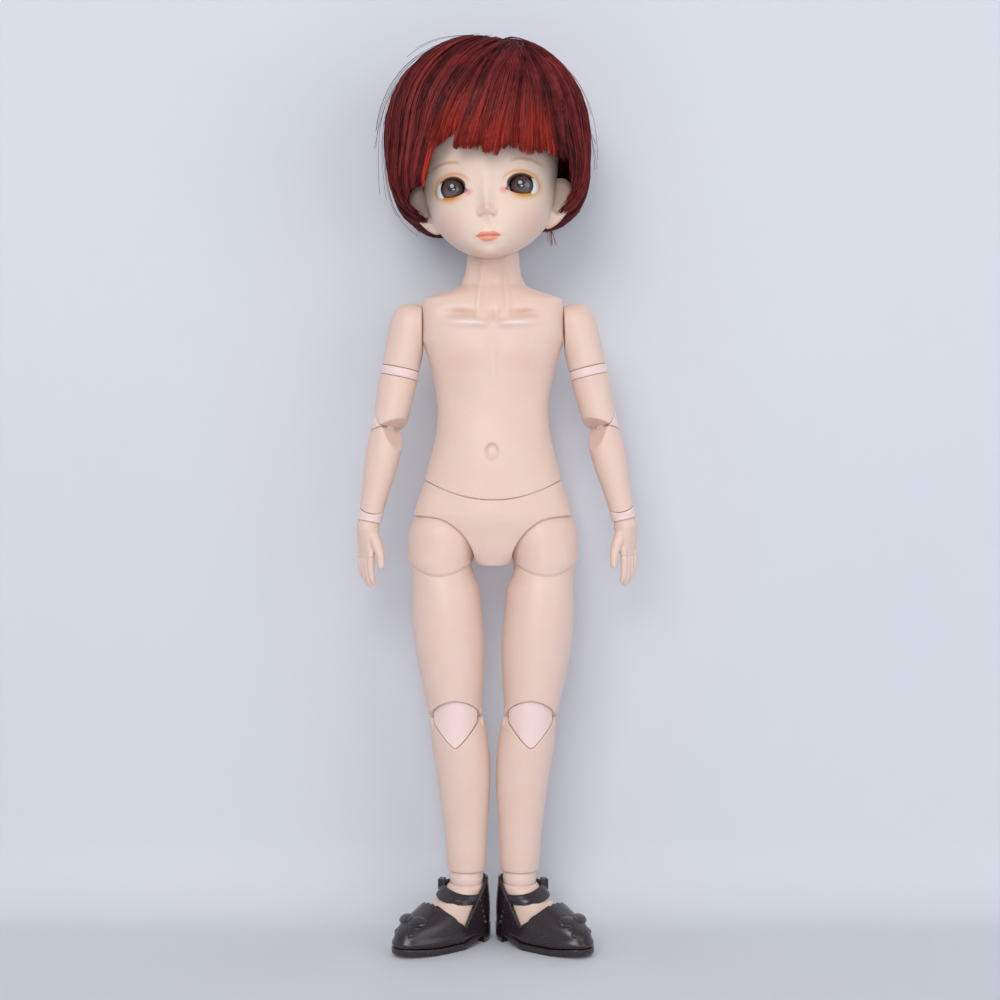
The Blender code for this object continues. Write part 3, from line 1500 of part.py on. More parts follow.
def make_wig(materials):
    rings = []
    for rise, width, front, back in WIG_ROW_SHARES:
        rings.append(
            ring(
                WIG_HEIGHT * rise + WIG_DROP,
                WIG_HALF_WIDTH * width,
                WIG_FRONT * front,
                WIG_BACK * back,
                y=-NECK_BACK,
                power=WIG_POWER,
                sides=HEAD_SIDES,
            )
        )
    wig = Piece("wig", skin(rings), materials["hair_fibre"], head_frame())
    wig.cut(skin(head_rings(WIG_GAP)))
    far = WIG_FRONT + OVERRUN
    wig.cut(
        block(
            (-FACE_OPENING_HALF_WIDTH, -far, -OVERRUN),
            (FACE_OPENING_HALF_WIDTH, 0, FRINGE_RISE),
        )
    )
    wig.cut(
        block(
            (-EAR_OPENING_HALF_WIDTH, -far, -OVERRUN),
            (EAR_OPENING_HALF_WIDTH, EAR_OPENING_BACK, EAR_OPENING_RISE),
        )
    )


def make_doll():
    clear_scene()
    materials = make_materials()
    make_pelvis(materials)
    make_waist_peg(materials)
    make_torso(materials)
    make_neck_ball(materials)
    make_head(materials)
    make_eyes(materials)
    make_wig(materials)
    for side_name, side in SIDES.items():
        make_leg(side_name, side, materials)
        make_arm(side_name, side, materials)


make_doll()
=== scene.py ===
"""The looks of a 300 mm ball jointed doll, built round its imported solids.

Metres, +Z up, the doll faces -Y. Each visible piece is built smooth in the frame of its joint, from
the same sizes as the solid it stands for, then cut, joined and eased along its edges.
"""

import json
import math

import bpy
import numpy as np
from mathutils import Matrix, Vector


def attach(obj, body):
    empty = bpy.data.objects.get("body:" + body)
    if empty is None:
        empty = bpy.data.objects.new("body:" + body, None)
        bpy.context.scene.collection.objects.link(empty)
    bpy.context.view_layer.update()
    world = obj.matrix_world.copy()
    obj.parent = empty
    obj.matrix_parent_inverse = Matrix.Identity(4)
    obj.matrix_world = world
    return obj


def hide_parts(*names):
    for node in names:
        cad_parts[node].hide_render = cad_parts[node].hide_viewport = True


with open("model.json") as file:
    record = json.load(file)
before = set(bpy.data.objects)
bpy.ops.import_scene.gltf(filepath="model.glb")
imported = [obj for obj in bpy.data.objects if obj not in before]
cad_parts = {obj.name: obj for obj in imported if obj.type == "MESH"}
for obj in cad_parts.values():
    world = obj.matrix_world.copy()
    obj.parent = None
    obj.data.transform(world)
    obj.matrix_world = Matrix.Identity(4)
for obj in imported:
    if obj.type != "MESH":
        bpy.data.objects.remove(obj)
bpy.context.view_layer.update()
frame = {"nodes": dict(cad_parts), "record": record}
record = frame["record"]
BODY_OF = {node: body for body, nodes in record["behaviour"]["bodies"].items() for node in nodes}

GAP = 0.0003
OVERRUN = 0.010
ANKLE_HEIGHT = 0.0205
KNEE_SPACING = 0.0065
KNEE_LOW = ANKLE_HEIGHT + 0.0506
KNEE_HIGH = KNEE_LOW + KNEE_SPACING
HIP_HEIGHT = KNEE_HIGH + 0.0554
WAIST_HEIGHT = HIP_HEIGHT + 0.0420
SHOULDER_HEIGHT = WAIST_HEIGHT + 0.0285
NECK_HEIGHT = SHOULDER_HEIGHT + 0.0275
HIP_OUT = 0.0163
KNEE_OUT = 0.0123
ANKLE_OUT = 0.0088

IDENTITY = Matrix.Identity(4)
MIRROR = Matrix.Diagonal((-1, 1, 1, 1))
SIDES = {"left": 1, "right": -1}
FINE = 96
TRUNK = 300


def at(x=0.0, y=0.0, z=0.0):
    return Matrix.Translation((x, y, z))


def turn(degrees, axis):
    return Matrix.Rotation(math.radians(degrees), 4, axis)


# Smooth shapes in numpy
def fine(rows, count):
    """Rows of a table at even steps of its first column, on a smooth curve through them."""
    table = np.array(rows, float)
    if table[0, 0] > table[-1, 0]:
        table = table[::-1]
    t = table[:, 0]
    slope = np.gradient(table, t, axis=0)
    places = np.linspace(t[0], t[-1], count)
    i = np.clip(np.searchsorted(t, places, "right") - 1, 0, len(t) - 2)
    h = (t[i + 1] - t[i])[:, None]
    u = (places - t[i])[:, None] / h
    a, b = table[i], table[i + 1]
    made = (1 + 2 * u) * (1 - u) ** 2 * a + u * (1 - u) ** 2 * h * slope[i]
    made += u * u * (3 - 2 * u) * b + u * u * (u - 1) * h * slope[i + 1]
    made[:, 0] = places
    return made


def ring(z, half_width, front, back, x=0.0, y=0.0, power=2.0, sides=FINE):
    angle = 2 * math.pi * (np.arange(sides) + 0.5) / sides
    c, s = np.cos(angle), np.sin(angle)
    across = np.sign(c) * np.abs(c) ** (2 / power)
    along = np.sign(s) * np.abs(s) ** (2 / power)
    depth = np.where(along > 0, back, front)
    return np.stack([x + half_width * across, y + depth * along, np.full(sides, z)], 1)


def ring_on_ball(outline, share, centre_height, radius):
    drawn = outline * share
    drawn[:, 2] = centre_height - np.sqrt(radius**2 - drawn[:, 0] ** 2 - drawn[:, 1] ** 2)
    return drawn


def skin(rings):
    """Closed skin over rings of the same count, with a cap at each end."""
    count = len(rings[0])
    points = np.concatenate([np.asarray(outline, float) for outline in rings])
    row = np.arange(count)
    after = (row + 1) % count
    faces = [tuple(row[::-1])]
    for low in range(0, (len(rings) - 1) * count, count):
        high = low + count
        faces += list(zip(low + row, low + after, high + after, high + row))
    faces.append(tuple((len(rings) - 1) * count + row))
    return points, faces


def rod(start, end, radius, end_radius=None, sides=32):
    start, end = Vector(start), Vector(end)
    lean = np.array((end - start).to_track_quat("Z", "Y").to_matrix())
    rings = []
    for centre, size in ((start, radius), (end, radius if end_radius is None else end_radius)):
        rings.append(ring(0, size, size, size, sides=sides) @ lean.T + np.array(centre))
    return skin(rings)


def turned(profile, axis_point=(0, 0, 0), axis="Z", sides=64):
    points, faces = skin([ring(place, r, r, r, sides=sides) for place, r in profile])
    order = {"X": [2, 0, 1], "Y": [1, 2, 0], "Z": [0, 1, 2]}[axis]
    return points[:, order] + np.array(axis_point), faces


def ball(centre, radii, sides=64, rows=32):
    angle = math.pi * (np.arange(rows) + 0.5) / rows
    points, faces = turned(list(zip(-np.cos(angle), np.sin(angle))), sides=sides)
    return points * np.array(radii) + np.array(centre), faces


def block(low, high):
    corners = list(zip(low, high))
    points = np.array([(x, y, z) for z in corners[2] for y in corners[1] for x in corners[0]])
    faces = [(0, 2, 3, 1), (4, 5, 7, 6), (0, 1, 5, 4), (2, 6, 7, 3), (0, 4, 6, 2), (1, 3, 7, 5)]
    return points, faces


def prism(outline, axis, low, high):
    """An outline pushed along X, where it holds (y, z), or along Y, where it holds (x, z)."""
    flat = np.array(outline, float)
    rings = []
    for place in (low, high):
        column = np.full(len(flat), place)
        order = (column, flat[:, 0], flat[:, 1])
        if axis == "Y":
            order = (flat[:, 0], column, flat[:, 1])
        rings.append(np.stack(order, 1))
    return skin(rings)


def bump(x, z, centre, size, lean=0.0):
    """A soft round hill in (x, z), 1 at its centre."""
    dx, dz = x - centre[0], z - centre[1]
    c, s = math.cos(math.radians(lean)), math.sin(math.radians(lean))
    across, up = dx * c + dz * s, dz * c - dx * s
    return np.exp(-((across / size[0]) ** 2) - (up / size[1]) ** 2)


def spun(shape, degrees):
    """A shape turned about Z."""
    points, faces = shape
    return points @ np.array(turn(degrees, "Z").to_3x3()).T, faces


def ramp(value, low, high):
    share = np.clip((value - low) / (high - low), 0, 1)
    return share * share * (3 - 2 * share)


# Making a piece from a shape, its cuts and joins
def raw_object(name, shape, matrix=IDENTITY):
    points, faces = shape
    mesh = bpy.data.meshes.new(name)
    mesh.from_pydata([tuple(p) for p in points], [], [tuple(int(i) for i in f) for f in faces])
    mesh.update()
    probe = sum_volume(mesh)
    if probe < 0:
        mesh.flip_normals()
    obj = bpy.data.objects.new(name, mesh)
    obj.matrix_world = matrix
    bpy.context.scene.collection.objects.link(obj)
    return obj


def sum_volume(mesh):
    mesh.calc_loop_triangles()
    count = len(mesh.loop_triangles)
    corners = np.zeros(count * 3, int)
    mesh.loop_triangles.foreach_get("vertices", corners)
    places = np.zeros(len(mesh.vertices) * 3)
    mesh.vertices.foreach_get("co", places)
    a, b, c = places.reshape(-1, 3)[corners.reshape(-1, 3)].transpose(1, 0, 2)
    return float(np.sum(a * np.cross(b, c)))


class Form:
    """A mesh in the frame of its joint, with steps that are applied when it is made."""

    def __init__(self, name, shape, matrix=IDENTITY):
        self.name = name
        self.matrix = matrix
        self.obj = raw_object(name, shape, matrix)
        self.helpers = []

    def step(self, operation, shape, matrix):
        helper = raw_object("helper", shape, self.matrix if matrix is None else matrix)
        self.helpers.append(helper)
        modifier = self.obj.modifiers.new(operation, "BOOLEAN")
        modifier.operation = operation
        modifier.solver = "MANIFOLD"
        modifier.object = helper
        return self

    def cut(self, shape, matrix=None):
        return self.step("DIFFERENCE", shape, matrix)

    def join(self, shape, matrix=None):
        return self.step("UNION", shape, matrix)

    def keep(self, shape, matrix=None):
        return self.step("INTERSECT", shape, matrix)

    def mesh(self, voxel=0.00028, rounds=4):
        """The finished mesh, remeshed and eased so that every cut edge is slightly round."""
        if voxel:
            modifier = self.obj.modifiers.new("remesh", "REMESH")
            modifier.mode = "VOXEL"
            modifier.voxel_size = voxel
            modifier.use_smooth_shade = True
        if rounds:
            modifier = self.obj.modifiers.new("ease", "SMOOTH")
            modifier.factor = 0.5
            modifier.iterations = rounds
        dg = bpy.context.evaluated_depsgraph_get()
        made = bpy.data.meshes.new_from_object(self.obj.evaluated_get(dg))
        for helper in [*self.helpers, self.obj]:
            bpy.data.objects.remove(helper, do_unlink=True)
        made.shade_smooth()
        made.name = self.name
        return made


def mirrored(mesh):
    twin = mesh.copy()
    twin.transform(MIRROR)
    twin.flip_normals()
    return twin


def show(name, mesh, matrix, node, material, also=(), level=True):
    """Puts a finished mesh in place of a CAD node, riding on the node's body."""
    obj = bpy.data.objects.new(name, mesh)
    place = Matrix.Translation(matrix.to_translation())
    if level:
        mesh.transform(place.inverted() @ matrix)
        matrix = place
    obj.matrix_world = matrix
    bpy.context.scene.collection.objects.link(obj)
    mesh.materials.clear()
    mesh.materials.append(material)
    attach(obj, BODY_OF[node])
    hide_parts(node, *also)
    return obj


def show_pair(name, mesh, frame_of, material):
    """The same piece on both sides, the right one mirrored."""
    shapes = {"left": mesh, "right": mirrored(mesh)}
    for side_name, side in SIDES.items():
        matrix = frame_of(side)
        if side < 0:
            matrix = MIRROR @ matrix @ MIRROR
        node = f"{name}_{side_name}"
        show(f"{node}_form", shapes[side_name], matrix, node, material)


# Shader helpers
def node(tree, kind, inputs=None, **settings):
    made = tree.nodes.new(kind)
    for key, value in settings.items():
        setattr(made, key, value)
    for key, value in (inputs or {}).items():
        if isinstance(value, bpy.types.NodeSocket):
            tree.links.new(value, made.inputs[key])
        else:
            made.inputs[key].default_value = value
    return made


def calc(tree, operation, first, second=0.0, third=0.0, clamp=False):
    made = node(tree, "ShaderNodeMath", {0: first, 1: second, 2: third}, operation=operation)
    made.use_clamp = clamp
    return made.outputs[0]


def mix(tree, share, first, second, blend="MIX"):
    made = node(tree, "ShaderNodeMix", data_type="RGBA", blend_type=blend)
    for key, value in ((0, share), (6, first), (7, second)):
        if isinstance(value, bpy.types.NodeSocket):
            tree.links.new(value, made.inputs[key])
        else:
            made.inputs[key].default_value = value
    return made.outputs[2]


def new_group(name, inputs, outputs):
    """A node group with named sockets: returns the tree, its inputs and its output node."""
    tree = bpy.data.node_groups.new(name, "ShaderNodeTree")
    kinds = {"color": "NodeSocketColor", "value": "NodeSocketFloat", "vector": "NodeSocketVector"}
    for label, kind, value in inputs:
        socket = tree.interface.new_socket(label, in_out="INPUT", socket_type=kinds[kind])
        if value is not None:
            socket.default_value = value
    for label, kind in outputs:
        tree.interface.new_socket(label, in_out="OUTPUT", socket_type=kinds[kind])
    return tree, tree.nodes.new("NodeGroupInput"), tree.nodes.new("NodeGroupOutput")


def rgb(red, green, blue):
    """A colour given by its 0 to 255 screen values."""
    values = []
    for part in (red, green, blue):
        share = part / 255
        values.append(share / 12.92 if share <= 0.04045 else ((share + 0.055) / 1.055) ** 2.4)
    return (*values, 1.0)


def make_moulding_group():
    """Soft colour drift, roughness drift and a very fine satin bump for moulded plastic."""
    tree, given, out = new_group(
        "moulded_surface",
        [("Color", "color", (0.8, 0.8, 0.8, 1)), ("Deep Color", "color", (0.8, 0.6, 0.5, 1)),
         ("Drift", "value", 0.25), ("Roughness", "value", 0.45), ("Grain", "value", 0.05)],
        [("Color", "color"), ("Roughness", "value"), ("Normal", "vector")],
    )
    place = node(tree, "ShaderNodeTexCoord").outputs["Object"]
    broad = node(tree, "ShaderNodeTexNoise", {"Vector": place, "Scale": 70.0, "Detail": 2.0})
    patchy = node(tree, "ShaderNodeTexNoise", {"Vector": place, "Scale": 900.0, "Detail": 3.0})
    grain = node(tree, "ShaderNodeTexNoise", {"Vector": place, "Scale": 5200.0, "Detail": 2.0})
    share = calc(tree, "MULTIPLY", calc(tree, "SUBTRACT", broad.outputs[0], 0.35), 2.2, clamp=True)
    share = calc(tree, "MULTIPLY", share, given.outputs["Drift"])
    tone = mix(tree, share, given.outputs["Color"], given.outputs["Deep Color"])
    speck = calc(tree, "MULTIPLY_ADD", patchy.outputs[0], 0.05, 0.975)
    speck_color = node(tree, "ShaderNodeCombineColor", {0: speck, 1: speck, 2: speck}).outputs[0]
    tone = mix(tree, 1.0, tone, speck_color, "MULTIPLY")
    rough = calc(tree, "MULTIPLY_ADD", calc(tree, "SUBTRACT", patchy.outputs[0], 0.5), 0.16,
                 given.outputs["Roughness"])
    bumped = node(tree, "ShaderNodeBump", {"Strength": given.outputs["Grain"], "Distance": 0.0001,
                                           "Height": grain.outputs[0]})
    for label, socket in (("Color", tone), ("Roughness", rough), ("Normal", bumped.outputs[0])):
        tree.links.new(socket, out.inputs[label])
    return tree


def new_material(name):
    material = bpy.data.materials.new(name)
    material.use_nodes = True
    return material, material.node_tree, material.node_tree.nodes["Principled BSDF"]


def plastic(name, group, color, deep, roughness, drift=0.25, grain=0.05, scatter=0.2, coat=0.0):
    material, tree, shader = new_material(name)
    surface = node(tree, "ShaderNodeGroup", node_tree=group)
    surface.inputs["Color"].default_value = color
    surface.inputs["Deep Color"].default_value = deep
    surface.inputs["Drift"].default_value = drift
    surface.inputs["Roughness"].default_value = roughness
    surface.inputs["Grain"].default_value = grain
    tree.links.new(surface.outputs["Color"], shader.inputs["Base Color"])
    tree.links.new(surface.outputs["Roughness"], shader.inputs["Roughness"])
    tree.links.new(surface.outputs["Normal"], shader.inputs["Normal"])
    shader.inputs["Subsurface Weight"].default_value = scatter
    shader.inputs["Subsurface Radius"].default_value = (1.0, 0.35, 0.2)
    shader.inputs["Subsurface Scale"].default_value = 0.0022
    shader.inputs["Coat Weight"].default_value = coat
    shader.inputs["Coat Roughness"].default_value = 0.25
    return material


moulding = make_moulding_group()
body_plastic = plastic("body_plastic", moulding, rgb(232, 203, 188), rgb(228, 185, 166), 0.44)
joint_plastic = plastic("joint_piece_plastic", moulding, rgb(240, 214, 208), rgb(234, 200, 192), 0.42)
ankle_plastic = plastic("ankle_plastic", moulding, rgb(233, 207, 195), rgb(228, 190, 176), 0.42)
inner_plastic = plastic("inner_plastic", moulding, rgb(222, 212, 204), rgb(206, 194, 184), 0.5, scatter=0.0)
steel = plastic("plated_steel", moulding, rgb(190, 186, 178), rgb(150, 146, 138), 0.3, 0.6, 0.2, 0.0)
steel.node_tree.nodes["Principled BSDF"].inputs["Metallic"].default_value = 1.0


# Stage: a pale sweep of paper, soft lamps and the camera at the photograph's place
def make_stage():
    back, radius, far = 0.036, 0.026, 3.0
    steps = 24
    line = [(-far, 0.0), (back - radius, 0.0)]
    for step in range(1, steps + 1):
        angle = math.pi / 2 * step / steps
        line.append((back - radius + radius * math.sin(angle), radius - radius * math.cos(angle)))
    line.append((back, far))
    points = [(x, y, z) for y, z in line for x in (-far, far)]
    faces = [(2 * i, 2 * i + 1, 2 * i + 3, 2 * i + 2) for i in range(len(line) - 1)]
    mesh = bpy.data.meshes.new("paper_sweep")
    mesh.from_pydata(points, [], faces)
    mesh.shade_smooth()
    obj = bpy.data.objects.new("paper_sweep", mesh)
    bpy.context.scene.collection.objects.link(obj)
    material, tree, shader = new_material("paper")
    place = node(tree, "ShaderNodeTexCoord").outputs["Object"]
    cloud = node(tree, "ShaderNodeTexNoise", {"Vector": place, "Scale": 9.0, "Detail": 2.0})
    tone = mix(tree, cloud.outputs[0], rgb(213, 216, 223), rgb(219, 220, 225))
    tree.links.new(tone, shader.inputs["Base Color"])
    shader.inputs["Roughness"].default_value = 0.9
    shader.inputs["Specular IOR Level"].default_value = 0.1
    clear = node(tree, "ShaderNodeBsdfTransparent")
    facing = node(tree, "ShaderNodeNewGeometry").outputs["Backfacing"]
    both = node(tree, "ShaderNodeMixShader", {0: facing, 1: shader.outputs[0], 2: clear.outputs[0]})
    tree.links.new(both.outputs[0], tree.nodes["Material Output"].inputs["Surface"])
    mesh.materials.append(material)
    obj.visible_shadow = False


def add_lamp(name, place, target, size, watts, color):
    light = bpy.data.lights.new(name, "AREA")
    light.shape = "DISK"
    light.size = size
    light.energy = watts
    light.color = color
    obj = bpy.data.objects.new(name, light)
    obj.location = place
    obj.rotation_euler = (Vector(target) - Vector(place)).to_track_quat("-Z", "Y").to_euler()
    bpy.context.scene.collection.objects.link(obj)
    return obj


def make_lights_and_camera():
    scene = bpy.context.scene
    scene.view_settings.view_transform = "Standard"
    world = bpy.data.worlds.new("room")
    world.use_nodes = True
    world.node_tree.nodes["Background"].inputs["Color"].default_value = rgb(236, 241, 250)
    world.node_tree.nodes["Background"].inputs["Strength"].default_value = 0.55
    scene.world = world
    middle = (0.0, 0.0, 0.16)
    add_lamp("main_lamp", (-0.25, -1.1, 0.75), middle, 0.7, 5.8, (1.0, 0.99, 0.97))
    add_lamp("fill_lamp", (0.8, -0.9, 0.25), middle, 0.9, 2.4, (0.95, 0.97, 1.0))
    window = add_lamp("window_lamp", (0.02, -0.95, 0.16), (0.0, 0.0, 0.24), 0.34, 1.1, (1.0, 1.0, 1.0))
    window.data.shape = "RECTANGLE"
    window.data.size_y = 0.16
    add_lamp("rear_lamp", (0.3, 1.3, 0.8), middle, 0.9, 2.2, (1.0, 1.0, 1.0))
    camera = bpy.data.cameras.new("camera")
    camera.sensor_width = 36.0
    camera.lens = 54.2
    camera.clip_start = 0.01
    obj = bpy.data.objects.new("camera", camera)
    obj.location = (0.0023, -0.5, 0.1457)
    obj.rotation_euler = (math.pi / 2, 0, 0)
    scene.collection.objects.link(obj)
    scene.camera = obj


# Frames of the joints
def hip_frame(side):
    return at(HIP_OUT, 0, HIP_HEIGHT)


def knee_frame(side):
    return at(KNEE_OUT, 0, KNEE_HIGH)


def shin_frame(side):
    return at(KNEE_OUT, 0, KNEE_LOW)


def ankle_frame(side):
    return at(ANKLE_OUT, 0, ANKLE_HEIGHT)


def foot_frame(side):
    return ankle_frame(side) @ turn(46, "Z")


# Double hinges
class Hinge:
    def __init__(self, **sizes):
        self.__dict__.update(sizes)


KNEE = Hinge(spacing=KNEE_SPACING, half_width=0.0069, radius=0.0083, edge=0.0044, tab=0.0031,
             pin=0.0012, reach=0.0078, arch=0.0024, notch=0.0066, cap_width=0.0083,
             cap_front=0.0092, face=0.0042, back=0.0068)
ELBOW = Hinge(spacing=0.0050, half_width=0.0016, radius=0.0012, edge=0.0010, tab=0.00235,
              pin=0.0008, reach=0.0047, cap_width=0.0056, cap_front=0.0057)
ELBOW_LEAN = {(1, -1): 46, (-1, -1): 26, (1, 1): 36, (-1, 1): 56}
WEDGE_TURN = -17
SEEN = 0.00012


def barrel_profile(hinge, grow):
    middle = hinge.radius + grow
    edge = hinge.edge + grow
    shares = np.linspace(-1, 1, 17)
    radii = np.sqrt(middle**2 - shares**2 * (middle**2 - edge**2))
    return list(zip(shares * (hinge.half_width + grow), radii))


def double_barrel(hinge, low, high):
    sides = 64
    rings = []
    for place, radius in barrel_profile(hinge, 0.0):
        angle = np.concatenate([np.linspace(0, math.pi, sides // 2),
                                np.linspace(math.pi, 2 * math.pi, sides // 2)])
        height = np.where(np.arange(sides) < sides // 2, high, low)
        rings.append(np.stack([np.full(sides, place), radius * np.cos(angle),
                               height + radius * np.sin(angle)], 1))
    return skin(rings)


def limb_end_outline(hinge, height, up, far):
    back = hinge.back * (far - hinge.tab) / (hinge.radius - hinge.tab)
    step_in = hinge.face + GAP / 2
    outline = [(-far, -up * far), (-far, -up * hinge.tab), (-step_in, -up * hinge.tab)]
    outline.append((-step_in, -up * GAP))
    for angle in np.linspace(-math.pi, 0, 33):
        outline.append((hinge.tab * math.cos(angle), up * hinge.tab * math.sin(angle)))
    outline += [(far, up * back), (far, -up * far)]
    return [(y, height + z) for y, z in outline]


def leaning_end(hinge, height, up, face, tab, far):
    """The round tab of an elbow end from its lowest point to one face, then a straight run out."""
    lean = math.radians(ELBOW_LEAN[up, face])
    points = [(face * tab * math.sin(a), -up * tab * math.cos(a)) for a in np.linspace(0, lean, 14)]
    across, rise = points[-1]
    points.append((face * far, rise + up * (far - abs(across)) * math.tan(lean)))
    return [(y, height + z) for y, z in points]


def elbow_end_outline(hinge, height, up, far):
    front = leaning_end(hinge, height, up, -1, hinge.tab, far)
    back = leaning_end(hinge, height, up, 1, hinge.tab, far)
    beyond = height - up * far
    return [(-far, beyond), *front[::-1], *back[1:], (far, beyond)]


def elbow_wedge(hinge, height, grow):
    """The wedge between the two limb ends, on the side that faces out."""
    tab, far = hinge.tab + SEEN - grow, 0.016
    upper = leaning_end(hinge, height, 1, -1, tab, far)
    lower = leaning_end(hinge, height - hinge.spacing, -1, -1, tab, far)
    return spun(prism([*upper, *lower[::-1]], "X", -far, far), WEDGE_TURN)


def cap_edge(hinge, grow):
    width = hinge.cap_width + 2 * grow
    seam = -hinge.tab - GAP / 2
    top = hinge.arch + grow
    bottom = -hinge.spacing - hinge.notch - grow
    outline = []
    for share in np.linspace(1, -1, 33)[:-1]:
        outline.append((width * share, seam + (top - seam) * (1 - share**2) ** 0.7))
    for share in np.linspace(-1, 1, 33)[:-1]:
        outline.append((width * share, seam + (bottom - seam) * (1 - abs(share) ** 1.3)))
    return outline


def fork(form, hinge, height, up, matrix=None):
    far = 0.0144
    width = hinge.half_width + OVERRUN
    if hinge is ELBOW:
        form.cut(prism(elbow_end_outline(hinge, height, up, far), "X", -width, width), matrix)
        upper_pin = height if up > 0 else height + hinge.spacing
        form.cut(elbow_wedge(hinge, upper_pin, SEEN), matrix)
    else:
        form.cut(prism(limb_end_outline(hinge, height, up, far), "X", -width, width), matrix)
        upper_pin = height if up > 0 else height + hinge.spacing
        outline = [(x, z + upper_pin) for x, z in cap_edge(hinge, SEEN)]
        form.cut(prism(outline, "Y", -far, -hinge.face), matrix)
    form.cut(turned(barrel_profile(hinge, SEEN), (0, 0, height), "X"), matrix)


def hinge_mesh(name, hinge):
    tall = 0.0083 + hinge.spacing
    front = hinge.cap_front
    cap = skin([ring(z, hinge.cap_width, front, front) for z in (-tall - hinge.spacing, tall)])
    form = Form(name, cap)
    if hinge is ELBOW:
        form.keep(elbow_wedge(hinge, 0.0, 0.0))
    else:
        form.keep(prism(cap_edge(hinge, 0.0), "Y", -front - OVERRUN, -hinge.face - GAP))
    form.join(double_barrel(hinge, -hinge.spacing, 0.0))
    return form.mesh(0.0002, 5)


# Legs
THIGH_ROWS = [
    (0.125, 0.10, 0.90, 0.91, 0.98), (0.205, 0.03, 0.89, 0.89, 0.96),
    (0.265, -0.04, 0.94, 0.95, 1.00), (0.40, -0.08, 0.98, 1.01, 1.01),
    (0.60, -0.16, 0.985, 0.99, 0.97), (0.80, -0.24, 0.88, 0.91, 0.88),
    (0.95, -0.30, 0.775, 0.83, 0.81), (1.00, -0.33, 0.76, 0.80, 0.79),
]
SHIN_ROWS = [
    (0.00, 0.00, 0.670, 0.575, 0.585), (0.06, 0.00, 0.700, 0.595, 0.615),
    (0.24, 0.02, 0.755, 0.640, 0.705), (0.44, 0.06, 0.862, 0.720, 0.905),
    (0.64, 0.115, 0.957, 0.815, 1.035), (0.80, 0.225, 1.000, 0.890, 1.000),
    (0.93, 0.305, 0.965, 0.900, 0.890), (1.00, 0.360, 0.915, 0.880, 0.840),
]
BALL_RADIUS = 0.0118


def crease_hip(points):
    """A crease under the round hip: the thigh steps in below it and swells out again."""
    x, y, z = points.T * 1000
    away = x - 1.7
    line = -12.2 + np.where(away < 0, 4.4 * (away / 12) ** 2, 2.8 * (away / 8.2) ** 2)
    below = line - z
    front = 0.35 + 0.65 * ramp(-y, -4, 4)
    depth = 0.62 * ramp(below, -0.5, 0.5) * np.exp(-np.maximum(below, 0) / 9)
    depth += 0.42 * np.exp(-((below / 0.55) ** 2))
    depth -= 0.30 * np.exp(-(((below + 4.5) / 4.0) ** 2))
    reach = np.sqrt((x - 0.5) ** 2 + y**2) + 1e-6
    points[:, 0] -= (x - 0.5) / reach * depth * front / 1000
    points[:, 1] -= y / reach * depth * front / 1000


def make_thighs():
    half_width, half_depth, length = 0.0118, 0.0124, 0.0586
    rings = []
    for drop, out, width, front, back in fine(THIGH_ROWS, 150)[::-1]:
        rings.append(ring(-length * drop, half_width * width, half_depth * front,
                          half_depth * back, half_width * out))
    for degrees in np.linspace(-4, 84, 18):
        radius = BALL_RADIUS * math.cos(math.radians(degrees))
        rings.append(ring(BALL_RADIUS * math.sin(math.radians(degrees)), radius, radius, radius))
    points, faces = skin(rings)
    crease_hip(points)
    thigh = Form("thigh", (points, faces), hip_frame(1))
    slot = 0.0022 + GAP
    past = BALL_RADIUS + OVERRUN
    thigh.cut(block((-past, -slot, -slot), (0.0030, slot, past)))
    thigh.cut(rod((0, -0.0071, 0), (0, 0.0071, 0), 0.0015))
    fork(thigh, KNEE, 0.0, 1, knee_frame(1))
    show_pair("thigh", thigh.mesh(), hip_frame, body_plastic)


def make_shins():
    low = ANKLE_HEIGHT + 0.0027
    length = KNEE_LOW + 0.0036 - low
    half_width, half_depth = 0.0094, 0.0108
    rings = []
    for rise, out, width, front, back in fine(SHIN_ROWS, 70):
        rings.append(ring(low + length * rise - KNEE_LOW, half_width * width, half_depth * front,
                          half_depth * back, ANKLE_OUT - KNEE_OUT + half_width * out))
    shin = Form("shin", skin(rings), shin_frame(1))
    fork(shin, KNEE, 0.0, -1)
    shin.cut(ball((0, 0, 0), (0.0059,) * 3), ankle_frame(1))
    show_pair("shin", shin.mesh(), shin_frame, body_plastic)


def make_ankles():
    ankle = Form("ankle_ball", ball((0, 0, 0), (0.0056,) * 3))
    ankle.join(rod((0, 0, 0), (0, 0, 0.013), 0.0018))
    show_pair("ankle_ball", ankle.mesh(0.0002), ankle_frame, ankle_plastic)


# Trunk
PELVIS_ROWS = [(0.00, 1.00, 1.00, 1.00), (0.12, 0.94, 0.992, 1.00), (0.41, 0.76, 0.91, 0.97),
               (0.76, 0.42, 0.80, 0.88), (1.00, 0.20, 0.64, 0.71)]
LEG_OPENING = [(1.35, 1.00), (1.00, 1.00), (0.57, 0.72), (0.38, 0.22), (0.26, -0.38),
               (0.205, -1.00), (0.20, -2.20), (1.35, -2.20)]
TORSO_ROWS = [
    (-0.36, 0.945, 0.99, 1.00, 2.2), (-0.20, 0.845, 0.93, 0.92, 2.2),
    (0.00, 0.790, 0.87, 0.86, 2.2), (0.20, 0.850, 0.92, 0.90, 2.3),
    (0.40, 0.980, 1.00, 0.98, 2.6), (0.52, 1.080, 1.00, 1.00, 3.0),
    (0.62, 1.120, 0.94, 0.98, 3.2), (0.685, 1.060, 0.84, 0.90, 3.0),
    (0.73, 0.800, 0.74, 0.80, 2.6), (0.775, 0.520, 0.60, 0.72, 2.2),
    (0.83, 0.425, 0.52, 0.72, 2.0), (0.91, 0.385, 0.48, 0.74, 2.0),
    (1.00, 0.365, 0.48, 0.76, 2.0),
]
SHOULDER_PLANE = 0.0232
WAIST_BALL = 0.0320
